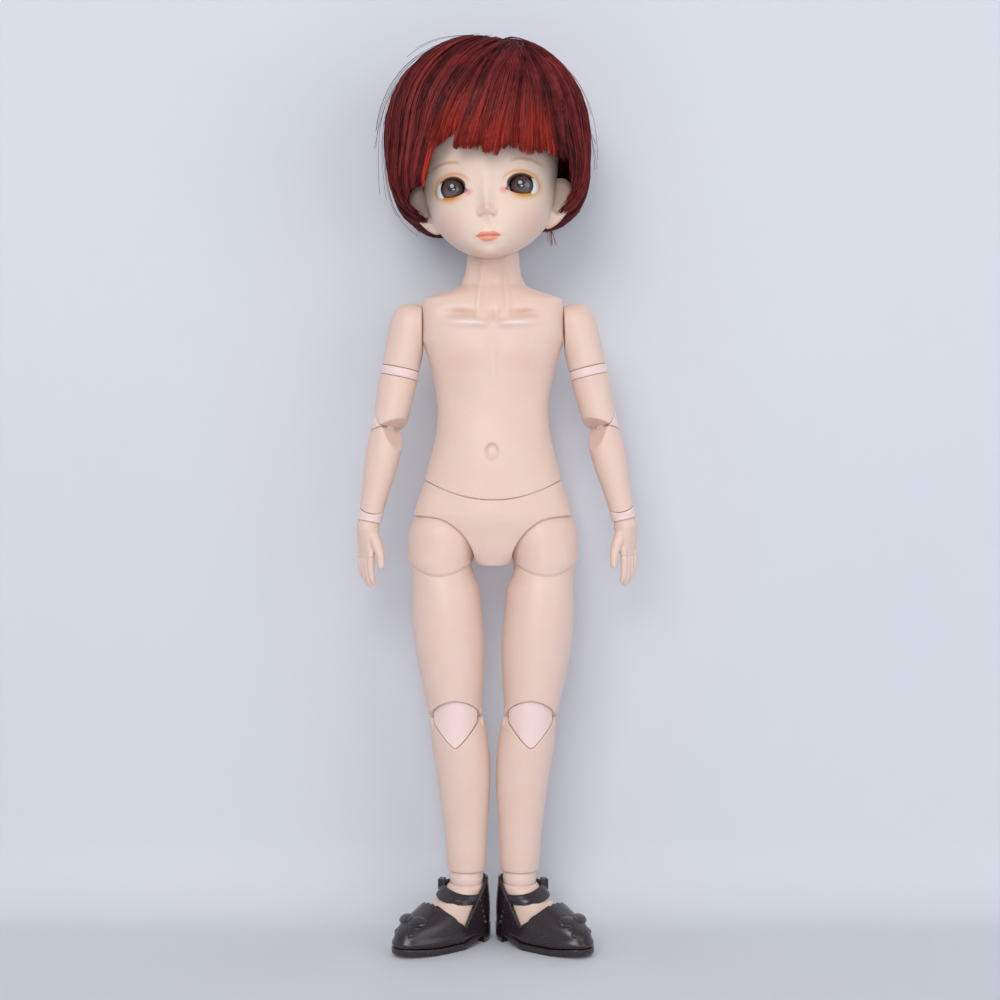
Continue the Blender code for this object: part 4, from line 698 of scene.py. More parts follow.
PELVIS_HALF_WIDTH = 0.0264


def seam_outline():
    return ring(0, 0.0226, 0.0131, 0.0134, power=2.4, sides=TRUNK)


def half_space(facing):
    far = 0.06
    low, high = (-GAP / 2, far) if facing == "front" else (-far, GAP / 2)
    return block((-far, low, -far), (far, high, 0.4))


def smooth_outline(points, count=10):
    """A closed outline of corners joined by smooth curves, past its straight outer sides."""
    table = np.array(points, float)
    steps = np.concatenate([[0], np.cumsum(np.linalg.norm(np.diff(table, axis=0), axis=1))])
    return fine(np.column_stack([steps, table]), count * len(table))[:, 1:]


def make_pelvis():
    bowl = WAIST_BALL + SEEN
    seam = seam_outline()
    leg_line, bottom = HIP_HEIGHT + 0.0078, HIP_HEIGHT - 0.0088
    rings = []
    for drop, width, front, back in fine(PELVIS_ROWS, 30)[::-1]:
        rings.append(ring(leg_line + (bottom - leg_line) * drop, PELVIS_HALF_WIDTH * width,
                          0.0136 * front, 0.0148 * back, power=2.4, sides=TRUNK))
    rim = ring_on_ball(seam.copy(), 1.0, WAIST_HEIGHT, bowl)
    top = rings[-1]
    for share in np.linspace(0, 1, 20)[1:-1]:
        rings.append(top + (rim - top) * np.array((share**1.12, share**1.7, share)))
    rings += [ring_on_ball(seam.copy(), s, WAIST_HEIGHT, bowl) for s in np.linspace(1, 0.04, 14)]
    points, faces = skin(rings)
    x, y, z = points.T
    front = ramp(-y, 0.002, 0.010)
    rise = z - HIP_HEIGHT
    y += front * 0.0006 * bump(np.abs(x), rise, (0.0150, 0.0125), (0.0060, 0.0050), 35)
    y -= front * 0.0007 * bump(x, rise, (0.0, 0.0115), (0.0090, 0.0080))
    opening = [(PELVIS_HALF_WIDTH * out, HIP_HEIGHT + (0.0078 if rise > 0 else 0.0088) * rise)
               for out, rise in LEG_OPENING]
    curve = smooth_outline(opening[1:6])
    outline = [opening[0], *curve, *opening[6:]]
    mirror_outline = [(-a, b) for a, b in outline]
    for facing in ("front", "back"):
        pelvis = Form(f"pelvis_{facing}", (points, faces))
        pelvis.cut(half_space(facing))
        for shape in (outline, mirror_outline):
            pelvis.cut(prism(shape, "Y", -0.025, 0.025))
        for side in (-1, 1):
            pelvis.cut(ball((side * HIP_OUT, 0, HIP_HEIGHT), (BALL_RADIUS + SEEN,) * 3))
        if facing == "back":
            depth = 0.0148 * 0.88
            pelvis.cut(rod((0, depth - 0.0026, HIP_HEIGHT - 0.0052),
                           (0, depth + 0.01, HIP_HEIGHT - 0.0052), 0.0024))
        node_name = f"pelvis_{facing}"
        show(f"{node_name}_form", pelvis.mesh(), IDENTITY, node_name, body_plastic)


def sculpt_torso(points):
    """Collarbones, neck tendons, the pit of the throat, ribs, a soft belly and the navel."""
    x, y, z = points.T
    out = np.abs(x)
    front = ramp(-y, 0.002, 0.007)
    base = WAIST_HEIGHT
    y -= front * 0.0013 * bump(out, z, (0.0078, 0.2033), (0.0062, 0.0012), 3)
    y -= front * 0.0004 * bump(out, z, (0.0034, 0.2031), (0.0016, 0.0013))
    y += front * 0.0015 * bump(out, z, (0.0104, 0.2064), (0.0048, 0.0014), 3)
    y += front * 0.0012 * bump(x, z, (0.0, 0.2056), (0.0021, 0.0024))
    y -= front * 0.0010 * bump(out, z, (0.0043, 0.2150), (0.0010, 0.0085), 4)
    y += front * 0.0010 * bump(x, z, (0.0, 0.2130), (0.0024, 0.0070))
    y -= front * 0.00060 * bump(out, z, (0.0105, 0.1935), (0.0080, 0.0070))
    y += front * 0.00045 * bump(x, z, (0.0, 0.1900), (0.0016, 0.0100))
    y += front * 0.00050 * bump(out, z, (0.0125, 0.1800), (0.0050, 0.0050), 30)
    y -= front * 0.00070 * bump(x, z, (0.0, 0.1600), (0.0120, 0.0100))
    u, v = x + 0.0003, (z - 0.1612) * 0.80
    r = np.sqrt(u * u + v * v)
    y += front * 0.00055 * np.exp(-(((r - 0.0020) / 0.00042) ** 2)) * (0.7 + 0.3 * ramp(v, -0.002, 0.002))
    y -= front * 0.00045 * np.exp(-((r / 0.0013) ** 2))
    y += front * 0.00030 * np.exp(-(((u * u + (v - 0.0004) ** 2) / 0.0005**2)))
    hollow = ramp(y, 0.002, 0.008)
    y -= hollow * 0.0010 * bump(x, z, (0.0, 0.1850), (0.0022, 0.0200))
    y += hollow * 0.0007 * bump(out, z, (0.0110, 0.1990), (0.0060, 0.0080), 15)
    return points, base


def make_torso():
    seam = seam_outline()
    rings = [ring_on_ball(seam.copy(), s, WAIST_HEIGHT, WAIST_BALL) for s in np.linspace(0.04, 1, 14)]
    length = 0.0530
    for rise, width, front, back, power in fine(TORSO_ROWS, 190):
        rings.append(ring(WAIST_HEIGHT + length * rise, min(SHOULDER_PLANE * width, 0.0235),
                          0.0128 * front, 0.0126 * back, power=power, sides=TRUNK))
    points, faces = skin(rings)
    sculpt_torso(points)
    for facing in ("front", "back"):
        torso = Form(f"torso_{facing}", (points, faces))
        torso.cut(half_space(facing))
        far = 0.05
        for low, high in ((-far, -SHOULDER_PLANE), (SHOULDER_PLANE, far)):
            torso.cut(block((low, -far, WAIST_HEIGHT), (high, far, NECK_HEIGHT)))
        for side in (-1, 1):
            torso.cut(rod((side * 0.0188, 0, SHOULDER_HEIGHT), (side * far, 0, SHOULDER_HEIGHT), 0.0033))
        torso.cut(ball((0, 0.0020, NECK_HEIGHT), (0.0065,) * 3))
        if facing == "back":
            depth = 0.0126 * 0.86
            for height in (WAIST_HEIGHT + 0.0200, WAIST_HEIGHT - 0.0080):
                torso.cut(rod((0, depth - 0.0026, height), (0, depth + 0.01, height), 0.0024))
        node_name = f"torso_{facing}"
        show(f"{node_name}_form", torso.mesh(0.00026, 3), IDENTITY, node_name, trunk_plastic)


# Arms
ARM_TILT = 11.6
ARM_LINE = 0.0011
ARM_HALF = 0.0063
TO_RING = 0.0201
RING_TALL = 0.0026
TO_ELBOW = 0.0147
TO_WRIST = 0.0252
WRIST_TALL = 0.0040
SHOULDER_ROWS = [
    (0.00, 0.25, 0.36, 0.34), (0.035, 0.25, 0.62, 0.60), (0.10, 0.30, 0.90, 0.88),
    (0.20, 0.40, 1.06, 1.08), (0.35, 0.60, 1.10, 1.16), (0.55, 0.85, 1.06, 1.12),
    (0.78, 1.00, 1.00, 1.04), (1.00, 1.00, 1.00, 1.00),
]
LOWER_ARM_ROWS = [(0.00, 1.00, 1.00), (0.30, 0.99, 1.00), (0.65, 0.94, 0.97),
                  (1.00, 0.90, 0.94), (1.22, 0.86, 0.90)]
FOREARM_ROWS = [(-0.11, 0.88, 0.90), (0.04, 0.98, 1.00), (0.18, 1.00, 1.02),
                (0.45, 0.94, 0.96), (0.75, 0.78, 0.80), (1.00, 0.70, 0.72)]


def arm_frame(side):
    lift = 2.0 if side > 0 else 0.0
    place = at(SHOULDER_PLANE + 0.0024, 0, SHOULDER_HEIGHT + 0.0051)
    return place @ turn(-ARM_TILT - lift, "Y")


def ring_frame(side):
    return arm_frame(side) @ at(ARM_LINE, 0, -TO_RING)


def lower_arm_frame(side):
    return arm_frame(side) @ at(ARM_LINE, 0, -TO_RING - RING_TALL - GAP)


def elbow_frame(side):
    return arm_frame(side) @ at(ARM_LINE, 0, -TO_RING - RING_TALL - TO_ELBOW) @ turn(125, "Z")


def forearm_frame(side):
    return elbow_frame(side) @ at(z=-ELBOW.spacing)


def wrist_frame(side):
    return arm_frame(side) @ at(ARM_LINE, 0, -TO_RING - RING_TALL - TO_ELBOW - ELBOW.spacing - TO_WRIST)


def hand_frame(side):
    return wrist_frame(side) @ at(z=-WRIST_TALL - 0.0020)


def make_shoulders():
    top, length = 0.0020, 0.0020 + TO_RING - GAP
    rings = []
    for drop, out, width, depth in fine(SHOULDER_ROWS, 60)[::-1]:
        rings.append(ring(top - length * drop, ARM_HALF * width, ARM_HALF * depth,
                          ARM_HALF * depth, ARM_LINE * out))
    cap = Form("shoulder_cap", skin(rings))
    upright = turn(ARM_TILT, "Y")
    far = 0.03
    cap.cut(block((-far, -far, -far), (SEEN - 0.0024, far, far)), upright)
    cap.cut(block((-far, -0.0018, -0.0086), (0.0026, 0.0018, far)), upright)
    cap.cut(rod((0, -0.0037, 0), (0, 0.0037, 0), 0.0011))
    show_pair("shoulder_cap", cap.mesh(), arm_frame, body_plastic)


def make_arm_rings():
    half, top = RING_TALL / 2, GAP - SEEN
    low, edge = -RING_TALL - top, 0.0002
    profile = [(low - 0.0050, 0.0024), (low, 0.0024), (low, ARM_HALF - edge), (low + edge, ARM_HALF),
               (-half, ARM_HALF + 0.0001), (top - edge, ARM_HALF), (top, ARM_HALF - edge),
               (top, 0.0024), (0.0050, 0.0024)]
    form = Form("upper_arm_ring", turned(profile, sides=FINE))
    show_pair("upper_arm_ring", form.mesh(0.00018, 3), ring_frame, joint_plastic)


def make_lower_arms():
    rings = []
    for drop, width, depth in fine(LOWER_ARM_ROWS, 40)[::-1]:
        rings.append(ring(-TO_ELBOW * drop, ARM_HALF * width, ARM_HALF * depth, ARM_HALF * depth))
    arm = Form("upper_arm_lower", skin(rings), lower_arm_frame(1))
    fork(arm, ELBOW, 0.0, 1, elbow_frame(1))
    show_pair("upper_arm_lower", arm.mesh(0.00022, 4), lower_arm_frame, body_plastic)


def make_forearms():
    half_width = 0.0057
    rings = []
    for drop, width, depth in fine(FOREARM_ROWS, 50)[::-1]:
        rings.append(ring(-TO_WRIST * drop, half_width * width, half_width * depth, half_width * depth))
    rings.insert(0, rings[0] - np.array((0, 0, 0.0020)))
    forearm = Form("forearm", skin(rings), forearm_frame(1))
    fork(forearm, ELBOW, 0.0, -1)
    far = 0.012
    forearm.cut(prism([*wrist_arc(0.0), (far, -far), (-far, -far)], "Y", -far, far), wrist_frame(1))
    show_pair("forearm", forearm.mesh(0.00022, 7), forearm_frame, body_plastic)


def wrist_arc(drop):
    """The round line, seen from the front, where the forearm ends in the wrist ring."""
    x = np.linspace(-0.012, 0.012, 61)
    return [(a, -drop - 0.0014 * max(1 - (a / 0.0044) ** 2, -0.3)) for a in x]


HAND_BALL = 0.0039


def make_wrists():
    radius, edge = 0.0041, 0.00022
    profile = [(-WRIST_TALL, radius - edge), (-WRIST_TALL + edge, radius), (-0.0031, radius),
               (-0.0030, radius - 0.00012), (-0.0028, radius - 0.00012), (-0.0027, radius),
               (-0.0010, radius + 0.0001), (0.0002, radius)]
    wrist = Form("wrist_ring", turned(profile, sides=FINE))
    far = 0.012
    wrist.cut(prism([*wrist_arc(SEEN)[::-1], (-far, far), (far, far)], "Y", -far, far))
    wrist.cut(ball((0, 0, -WRIST_TALL - 0.0020), (HAND_BALL + SEEN,) * 3))
    wrist.join(rod((0, 0, -0.0022), (0, 0, 0.0060), 0.0017))
    outline = [(0.0020, -WRIST_TALL / 2), (-0.0020, -WRIST_TALL / 2)]
    for angle in np.linspace(math.pi, 2 * math.pi, 25):
        outline.append((0.0020 * math.cos(angle), -WRIST_TALL - 0.0020 + 0.0020 * math.sin(angle)))
    wrist.join(prism(outline, "Y", -0.0012, 0.0012))
    show_pair("wrist_ring", wrist.mesh(0.00016, 3), wrist_frame, joint_plastic)


def tube(path, radii, sides=24, flat=1.0):
    """A round-ended tube along points, its rings square to the way it runs."""
    path = np.array(path, float)
    steps = np.concatenate([[0], np.cumsum(np.linalg.norm(np.diff(path, axis=0), axis=1))])
    line = fine(np.column_stack([steps, path, radii]), 30)
    rings = []
    places, sizes = line[:, 1:4], line[:, 4]
    along = np.gradient(places, axis=0)
    start_cap = [(-0.97, 0.22), (-0.80, 0.60), (-0.45, 0.89)]
    spans = [(0, a, b) for a, b in start_cap] + [(i, 0.0, 1.0) for i in range(len(places))]
    spans += [(len(places) - 1, -a, b) for a, b in start_cap[::-1]]
    for i, ahead, share in spans:
        way = Vector(along[i]).normalized()
        lean = np.array(way.to_track_quat("Z", "Y").to_matrix())
        size = sizes[i]
        flat_ring = ring(0, size * share, size * share * flat, size * share * flat, sides=sides)
        rings.append(flat_ring @ lean.T + places[i] + np.array(way) * ahead * size)
    return skin(rings)


def make_hands():
    """Palm to -X, thumb to -Y, four fingers slightly curled."""
    long, face = 0.0098, -45
    rows = [(0.05, 3.85, 3.85, 0.0), (0.22, 3.30, 3.90, 0.0), (0.42, 2.80, 3.95, 0.1),
            (0.62, 2.35, 3.80, 0.2), (0.85, 1.80, 3.60, 0.2), (1.00, 1.40, 3.35, 0.2),
            (1.09, 1.10, 2.80, 0.2), (1.14, 0.60, 1.90, 0.2)]
    rings = []
    for degrees in (85, 70, 55, 40, 25, 10):
        share = HAND_BALL * math.cos(math.radians(degrees))
        rings.append(ring(HAND_BALL * math.sin(math.radians(degrees)), share, share, share, sides=64))
    for drop, thick, wide, shift in fine(rows, 30):
        rings.append(ring(-long * drop, thick / 1000, wide / 1000, wide / 1000, y=shift / 1000,
                          power=2.15, sides=64))
    hand = Form("hand", spun(skin(rings[::-1]), face))
    shares = [0.92, 1.00, 0.95, 0.80]
    for number in range(4):
        y = 0.0016 * (number - 1.5) + 0.0002
        reach = 0.0106 * shares[number]
        tip = -long - reach + 0.0012
        path = [(0.0001, y, -long + 0.0040), (0.0004, y * 1.02, -long - reach * 0.05),
                (0.0001, y * 1.0, -long - reach * 0.45), (-0.0005, y * 0.96, -long - reach * 0.72),
                (-0.0014, y * 0.90, tip)]
        hand.join(spun(tube(path, [0.0013, 0.00124, 0.00112, 0.00102, 0.00084]), face))
    thumb = [(0.0, -0.0018, -0.0018), (-0.0004, -0.0040, -0.0054), (-0.0007, -0.0056, -0.0088),
             (-0.0009, -0.0062, -0.0128)]
    hand.join(spun(tube(thumb, [0.0021, 0.0019, 0.0015, 0.0011]), face))
    hand.cut(block((-0.0029, -0.0015, -0.0023), (0.0029, 0.0015, 0.01)))
    mesh = hand.mesh(0.00016, 7)
    mesh.transform(turn(10, "Y"))
    show_pair("hand", mesh, hand_frame, body_plastic)


# Head
HEAD_ROWS = [
    (0.000, 0.130, -0.55, 0.76, -0.28), (0.014, 0.260, -0.45, 0.81, -0.10),
    (0.050, 0.450, -0.28, 0.87, 0.12), (0.100, 0.620, -0.12, 0.92, 0.34),
    (0.160, 0.765, 0.00, 0.955, 0.60), (0.250, 0.872, 0.00, 0.965, 0.82),
    (0.370, 0.940, 0.00, 0.980, 0.94), (0.500, 0.990, 0.00, 1.000, 1.00),
    (0.640, 1.000, 0.00, 0.995, 1.01), (0.780, 0.915, 0.00, 0.910, 0.93),
    (0.890, 0.730, 0.00, 0.720, 0.76), (0.960, 0.460, 0.00, 0.460, 0.50),
    (0.997, 0.120, 0.00, 0.120, 0.14),
]
NECK_BACK = 0.0020
EYE_OUT, EYE_RISE, EYE_FORWARD, EYE_RADIUS = 0.0110, 0.0150, 0.0134, 0.0056
EYE_OUTLINE = [(-5.0, -1.7), (-4.0, -0.1), (-3.1, 1.45), (-1.6, 2.5), (0.2, 2.85), (2.1, 2.45),
               (3.5, 1.4), (4.1, -0.1), (3.8, -1.6), (2.4, -2.75), (0.3, -3.15), (-2.0, -2.9),
               (-3.8, -2.2)]
EAR_OUTLINE = [(18.6, 15.6), (20.3, 18.8), (22.7, 20.4), (25.3, 20.0), (27.1, 17.8), (27.4, 15.0),
               (26.5, 11.8), (24.3, 8.4), (21.2, 5.4), (18.0, 4.2), (16.6, 7.0), (17.6, 11.5)]


def head_frame(side=1):
    return at(0, NECK_BACK, NECK_HEIGHT) @ turn(-3.5, "Z") @ turn(-2.5, "Y")


def closed_curve(points, count):
    """A smooth closed curve through points, by the same rule as the rows."""
    loop = [*points[-3:], *points, *points[:4]]
    table = fine([(i, *p) for i, p in enumerate(loop)], (len(loop) - 1) * count + 1)
    return table[3 * count:(3 + len(points)) * count, 1:]


def sculpt_face(points):
    """Eye hollows, nose, lips, cheeks and chin, pushed in or out along Y on the front."""
    x, y, z = points.T * 1000
    out = np.abs(x)
    front = ramp(-y, 6, 16)
    push = -1.45 * bump(out, z, (10.8, 15.2), (6.2, 5.2))
    push += 0.35 * bump(out, z, (10.5, 22.0), (7.0, 2.2), -6)
    push += 0.9 * bump(out, z, (12.5, 2.5), (6.5, 5.5), 20)
    push += 0.55 * bump(x, z, (0, 13.5), (1.9, 6.5))
    push += 1.35 * bump(x, z, (0, 8.6), (1.8, 3.4))
    push += 1.55 * bump(x, z, (0, 6.7), (1.75, 1.6))
    push += 0.75 * bump(out, z, (2.15, 5.9), (0.95, 0.95))
    push -= 0.45 * bump(out, z, (1.0, 5.0), (0.65, 0.4))
    push -= 0.30 * bump(out, z, (3.5, 5.6), (0.5, 1.0), -20)
    push -= 0.25 * bump(x, z, (0, 2.3), (0.75, 1.5))
    push += 0.85 * bump(x, z, (0, -1.5), (4.6, 2.7))
    push += 0.40 * bump(out, z, (1.5, -0.55), (1.7, 0.62), -14)
    push += 0.50 * bump(x, z, (0, -2.5), (2.4, 0.75))
    line = -1.35 + 0.10 * np.cos(out * 1.5) + 0.03 * out
    push -= 0.55 * np.exp(-(((z - line) / 0.26) ** 2)) * np.exp(-((out / 4.2) ** 6))
    push -= 0.40 * bump(x, z, (0, -4.2), (3.0, 0.75))
    push += 0.75 * bump(x, z, (0, -6.3), (4.6, 2.6))
    push -= 0.35 * bump(out, z, (5.0, -1.6), (0.7, 0.9))
    points[:, 1] -= front * push / 1000
    lower = ramp(-z, 4.5, 6.5) * front
    points[:, 2] -= lower * 0.0005


def make_ear():
    """A cupped ear that faces forward: outer rim, hollow, inner fold and lobe."""
    outline = closed_curve(EAR_OUTLINE, 6) / 1000
    ear = Form("ear", prism(outline, "Y", -0.0034, 0.0016))
    ear.keep(ball((0.0220, 0.0, 0.0122), (0.0070, 0.0033, 0.0103), 96, 48))
    hollow = at(0.0230, -0.0037, 0.0132) @ turn(14, "Y")
    ear.cut(ball((0, 0, 0), (0.0027, 0.0029, 0.0056), 64, 32), hollow)
    fold = [(0.0212, -0.0014, 0.0190), (0.0236, -0.0015, 0.0180), (0.0240, -0.0012, 0.0140),
            (0.0222, -0.0014, 0.0105)]
    ear.join(tube(np.array(fold), [0.0004, 0.0006, 0.0006, 0.0005], 16))
    ear.join(ball((0.0196, -0.0020, 0.0132), (0.0010, 0.0012, 0.0020), 32, 16))
    mesh = ear.mesh(0.0003, 8)
    points = np.zeros(len(mesh.vertices) * 3)
    mesh.vertices.foreach_get("co", points)
    faces = [tuple(face.vertices) for face in mesh.polygons]
    return points.reshape(-1, 3), faces


def head_rings():
    rings = []
    for rise, width, middle, front, back in fine(HEAD_ROWS, 200):
        rings.append(ring(0.0690 * rise - 0.0062, 0.0234 * width, 0.0240 * (front + middle),
                          0.0268 * back - 0.0240 * middle, y=0.0240 * middle - NECK_BACK,
                          power=2.4, sides=420))
    return rings


def make_head():
    points, faces = skin(head_rings())
    sculpt_face(points)
    ear_points, ear_faces = make_ear()
    far = 0.06
    parts = {"face_shell": block((-far, 0.0050, -far), (far, far, 0.09)),
             "head_back_cap": block((-far, -far, -far), (far, 0.0053, 0.09))}
    for name, away in parts.items():
        form = Form(name, (points, faces))
        form.cut(away)
        if name == "face_shell":
            for side in (-1, 1):
                form.join((ear_points * (side, 1, 1), ear_faces))
                curve = closed_curve(EYE_OUTLINE, 6) / 1000
                outline = [(side * (EYE_OUT + u), EYE_RISE + v) for u, v in curve]
                form.cut(prism(outline, "Y", -0.04, -EYE_FORWARD - NECK_BACK))
                eye = (side * EYE_OUT, -EYE_FORWARD - NECK_BACK, EYE_RISE)
                form.cut(ball(eye, (0.0063, 0.0061, 0.0063)))
        form.cut(ball((0, 0, 0), (0.0114,) * 3))
        mesh = form.mesh(0.00022 if name == "face_shell" else 0.0004, 3)
        show(f"{name}_form", mesh, head_frame(), name, face_paint, level=False)


# Face paint, in the head's own coordinates
def oval(tree, u, v, centre, size, lean=0.0):
    """Distance from a centre, 1 on the oval of the given half sizes."""
    c, s = math.cos(math.radians(lean)), math.sin(math.radians(lean))
    du = calc(tree, "SUBTRACT", u, centre[0])
    dv = calc(tree, "SUBTRACT", v, centre[1])
    a = calc(tree, "ADD", calc(tree, "MULTIPLY", du, c / size[0]), calc(tree, "MULTIPLY", dv, s / size[0]))
    b = calc(tree, "SUBTRACT", calc(tree, "MULTIPLY", dv, c / size[1]), calc(tree, "MULTIPLY", du, s / size[1]))
    square = calc(tree, "ADD", calc(tree, "MULTIPLY", a, a), calc(tree, "MULTIPLY", b, b))
    return calc(tree, "SQRT", square)


def fade(tree, value, low, high):
    """1 below low, 0 above high, smooth between."""
    made = node(tree, "ShaderNodeMapRange", {"Value": value, "From Min": low, "From Max": high,
                                             "To Min": 1.0, "To Max": 0.0},
                interpolation_type="SMOOTHSTEP")
    return made.outputs[0]


def rise_to(tree, value, low, high):
    made = node(tree, "ShaderNodeMapRange", {"Value": value, "From Min": low, "From Max": high},
                interpolation_type="SMOOTHSTEP")
    return made.outputs[0]


def band(tree, distance, place, half, soft):
    """1 where a distance is within half of a place."""
    away = calc(tree, "ABSOLUTE", calc(tree, "SUBTRACT", distance, place))
    return fade(tree, away, half, half + soft)


def times(tree, *values):
    made = values[0]
    for value in values[1:]:
        made = calc(tree, "MULTIPLY", made, value)
    return made


def make_face_group():
    """Colour of a painted face from its own place in millimetres, across (u) and up (v)."""
    tree, given, out = new_group(
        "painted_face", [("Place", "vector", None), ("Color", "color", (0.8, 0.7, 0.6, 1))],
        [("Color", "color"), ("Gloss", "value")],
    )
    parts = node(tree, "ShaderNodeSeparateXYZ", {0: given.outputs["Place"]})
    x = calc(tree, "MULTIPLY", parts.outputs[0], 1000.0)
    v = calc(tree, "MULTIPLY", parts.outputs[2], 1000.0)
    front = fade(tree, parts.outputs[1], -0.012, -0.006)
    u = calc(tree, "ABSOLUTE", x)
    grain = node(tree, "ShaderNodeTexNoise", {"Vector": given.outputs["Place"], "Scale": 1500.0, "Detail": 2.0})
    rough = calc(tree, "MULTIPLY_ADD", grain.outputs[0], 0.5, -0.25)
    color = given.outputs["Color"]

    def paint(mask, tone, strength):
        nonlocal color
        color = mix(tree, times(tree, mask, strength, front), color, tone)

    paint(fade(tree, oval(tree, u, v, (13.5, 3.0), (9.0, 7.5)), 0.1, 1.0), rgb(240, 178, 160), 0.34)
    paint(fade(tree, oval(tree, u, v, (0.0, 6.5), (4.0, 3.4)), 0.1, 1.0), rgb(238, 180, 160), 0.22)
    paint(fade(tree, oval(tree, u, v, (0.0, -7.0), (8.0, 4.2)), 0.1, 1.0), rgb(240, 184, 162), 0.30)
    paint(fade(tree, oval(tree, u, v, (2.1, 4.9), (1.2, 0.7)), 0.2, 1.0), rgb(214, 130, 104), 0.38)
    lid = oval(tree, u, v, (11.1, 14.85), (4.2, 3.1))
    lid = calc(tree, "ADD", lid, calc(tree, "MULTIPLY", rough, 0.05))
    outer = rise_to(tree, u, 5.5, 11.5)
    lower = fade(tree, v, 12.0, 19.5)
    shade = times(tree, fade(tree, lid, 1.10, 1.85), outer,
                  calc(tree, "MULTIPLY_ADD", lower, 0.40, 0.60))
    paint(shade, rgb(226, 158, 66), 0.95)
    paint(times(tree, band(tree, lid, 1.10, 0.04, 0.20), outer), rgb(206, 132, 52), 0.4)
    upper = rise_to(tree, v, 15.5, 17.5)
    paint(times(tree, band(tree, lid, 1.40, 0.04, 0.12), upper), rgb(212, 144, 88), 0.55)
    paint(fade(tree, oval(tree, u, v, (5.6, 12.9), (2.0, 1.6)), 0.2, 1.0), rgb(236, 134, 140), 0.7)
    thick = calc(tree, "MULTIPLY_ADD", rise_to(tree, u, 7.0, 14.5), 0.06, 1.055)
    over = calc(tree, "SUBTRACT", lid, thick)
    lash = times(tree, fade(tree, over, 0.0, 0.05), rise_to(tree, v, 13.6, 15.4))
    paint(lash, rgb(52, 30, 22), 0.95)
    angle = node(tree, "ShaderNodeMath", {0: calc(tree, "SUBTRACT", v, 14.7),
                                          1: calc(tree, "SUBTRACT", u, 11.3)}, operation="ARCTAN2")
    comb = calc(tree, "SINE", calc(tree, "MULTIPLY", angle.outputs[0], 62.0))
    strokes = times(tree, rise_to(tree, comb, 0.45, 0.9), fade(tree, lid, 1.10, 1.30),
                    fade(tree, v, 11.6, 12.8), rise_to(tree, u, 8.5, 11.0))
    paint(strokes, rgb(104, 62, 34), 0.5)
    brow = oval(tree, u, v, (12.0, 10.4), (12.6, 12.2))
    ends = times(tree, rise_to(tree, u, 7.4, 9.6), fade(tree, u, 16.0, 19.5), rise_to(tree, v, 15.0, 17.0))
    hairs = calc(tree, "ADD", brow, calc(tree, "MULTIPLY", rough, 0.02))
    paint(times(tree, band(tree, hairs, 1.0, 0.016, 0.045), ends), rgb(204, 154, 120), 0.7)
    mouth = calc(tree, "MULTIPLY", x, 1.0)
    arch = calc(tree, "COSINE", calc(tree, "MULTIPLY", mouth, 1.55))
    edge = calc(tree, "SUBTRACT", 1.0, calc(tree, "POWER", calc(tree, "DIVIDE", u, 4.35), 2.2))
    top_edge = calc(tree, "MULTIPLY", edge, calc(tree, "MULTIPLY_ADD", arch, -0.14, 1.28))
    above = calc(tree, "SUBTRACT", v, -1.3)
    upper_lip = times(tree, fade(tree, calc(tree, "SUBTRACT", above, top_edge), -0.12, 0.22),
                      rise_to(tree, above, -0.2, 0.1))
    bottom_edge = calc(tree, "MULTIPLY", calc(tree, "SUBTRACT", 1.0, calc(
        tree, "POWER", calc(tree, "DIVIDE", u, 3.7), 2.4)), 1.75)
    lower_lip = times(tree, fade(tree, calc(tree, "SUBTRACT", calc(tree, "MULTIPLY", above, -1.0),
                                            bottom_edge), -0.15, 0.28), fade(tree, above, -0.1, 0.2))
    lips = calc(tree, "MAXIMUM", calc(tree, "MAXIMUM", upper_lip, lower_lip), 0.0, clamp=True)
    lips = times(tree, lips, fade(tree, u, 4.0, 4.5))
    paint(lips, rgb(232, 142, 112), 0.88)
    paint(times(tree, band(tree, above, 0.0, 0.1, 0.22), fade(tree, u, 3.2, 4.6)), rgb(190, 84, 62), 0.6)
    tree.links.new(color, out.inputs["Color"])
    tree.links.new(times(tree, lips, front), out.inputs["Gloss"])
    return tree


def make_face_material():
    material = plastic("painted_face", moulding, rgb(234, 209, 191), rgb(230, 195, 175), 0.46,
                       drift=0.25, grain=0.04, scatter=0.2)
    tree = material.node_tree
    shader = tree.nodes["Principled BSDF"]
    surface = next(n for n in tree.nodes if n.type == "GROUP")
    face = node(tree, "ShaderNodeGroup", node_tree=make_face_group())
    place = node(tree, "ShaderNodeTexCoord").outputs["Object"]
    tree.links.new(place, face.inputs["Place"])
    tree.links.new(surface.outputs["Color"], face.inputs["Color"])
    tree.links.new(face.outputs["Color"], shader.inputs["Base Color"])
    rough = calc(tree, "MULTIPLY_ADD", face.outputs["Gloss"], -0.16, surface.outputs["Roughness"])
    tree.links.new(rough, shader.inputs["Roughness"])
    return material


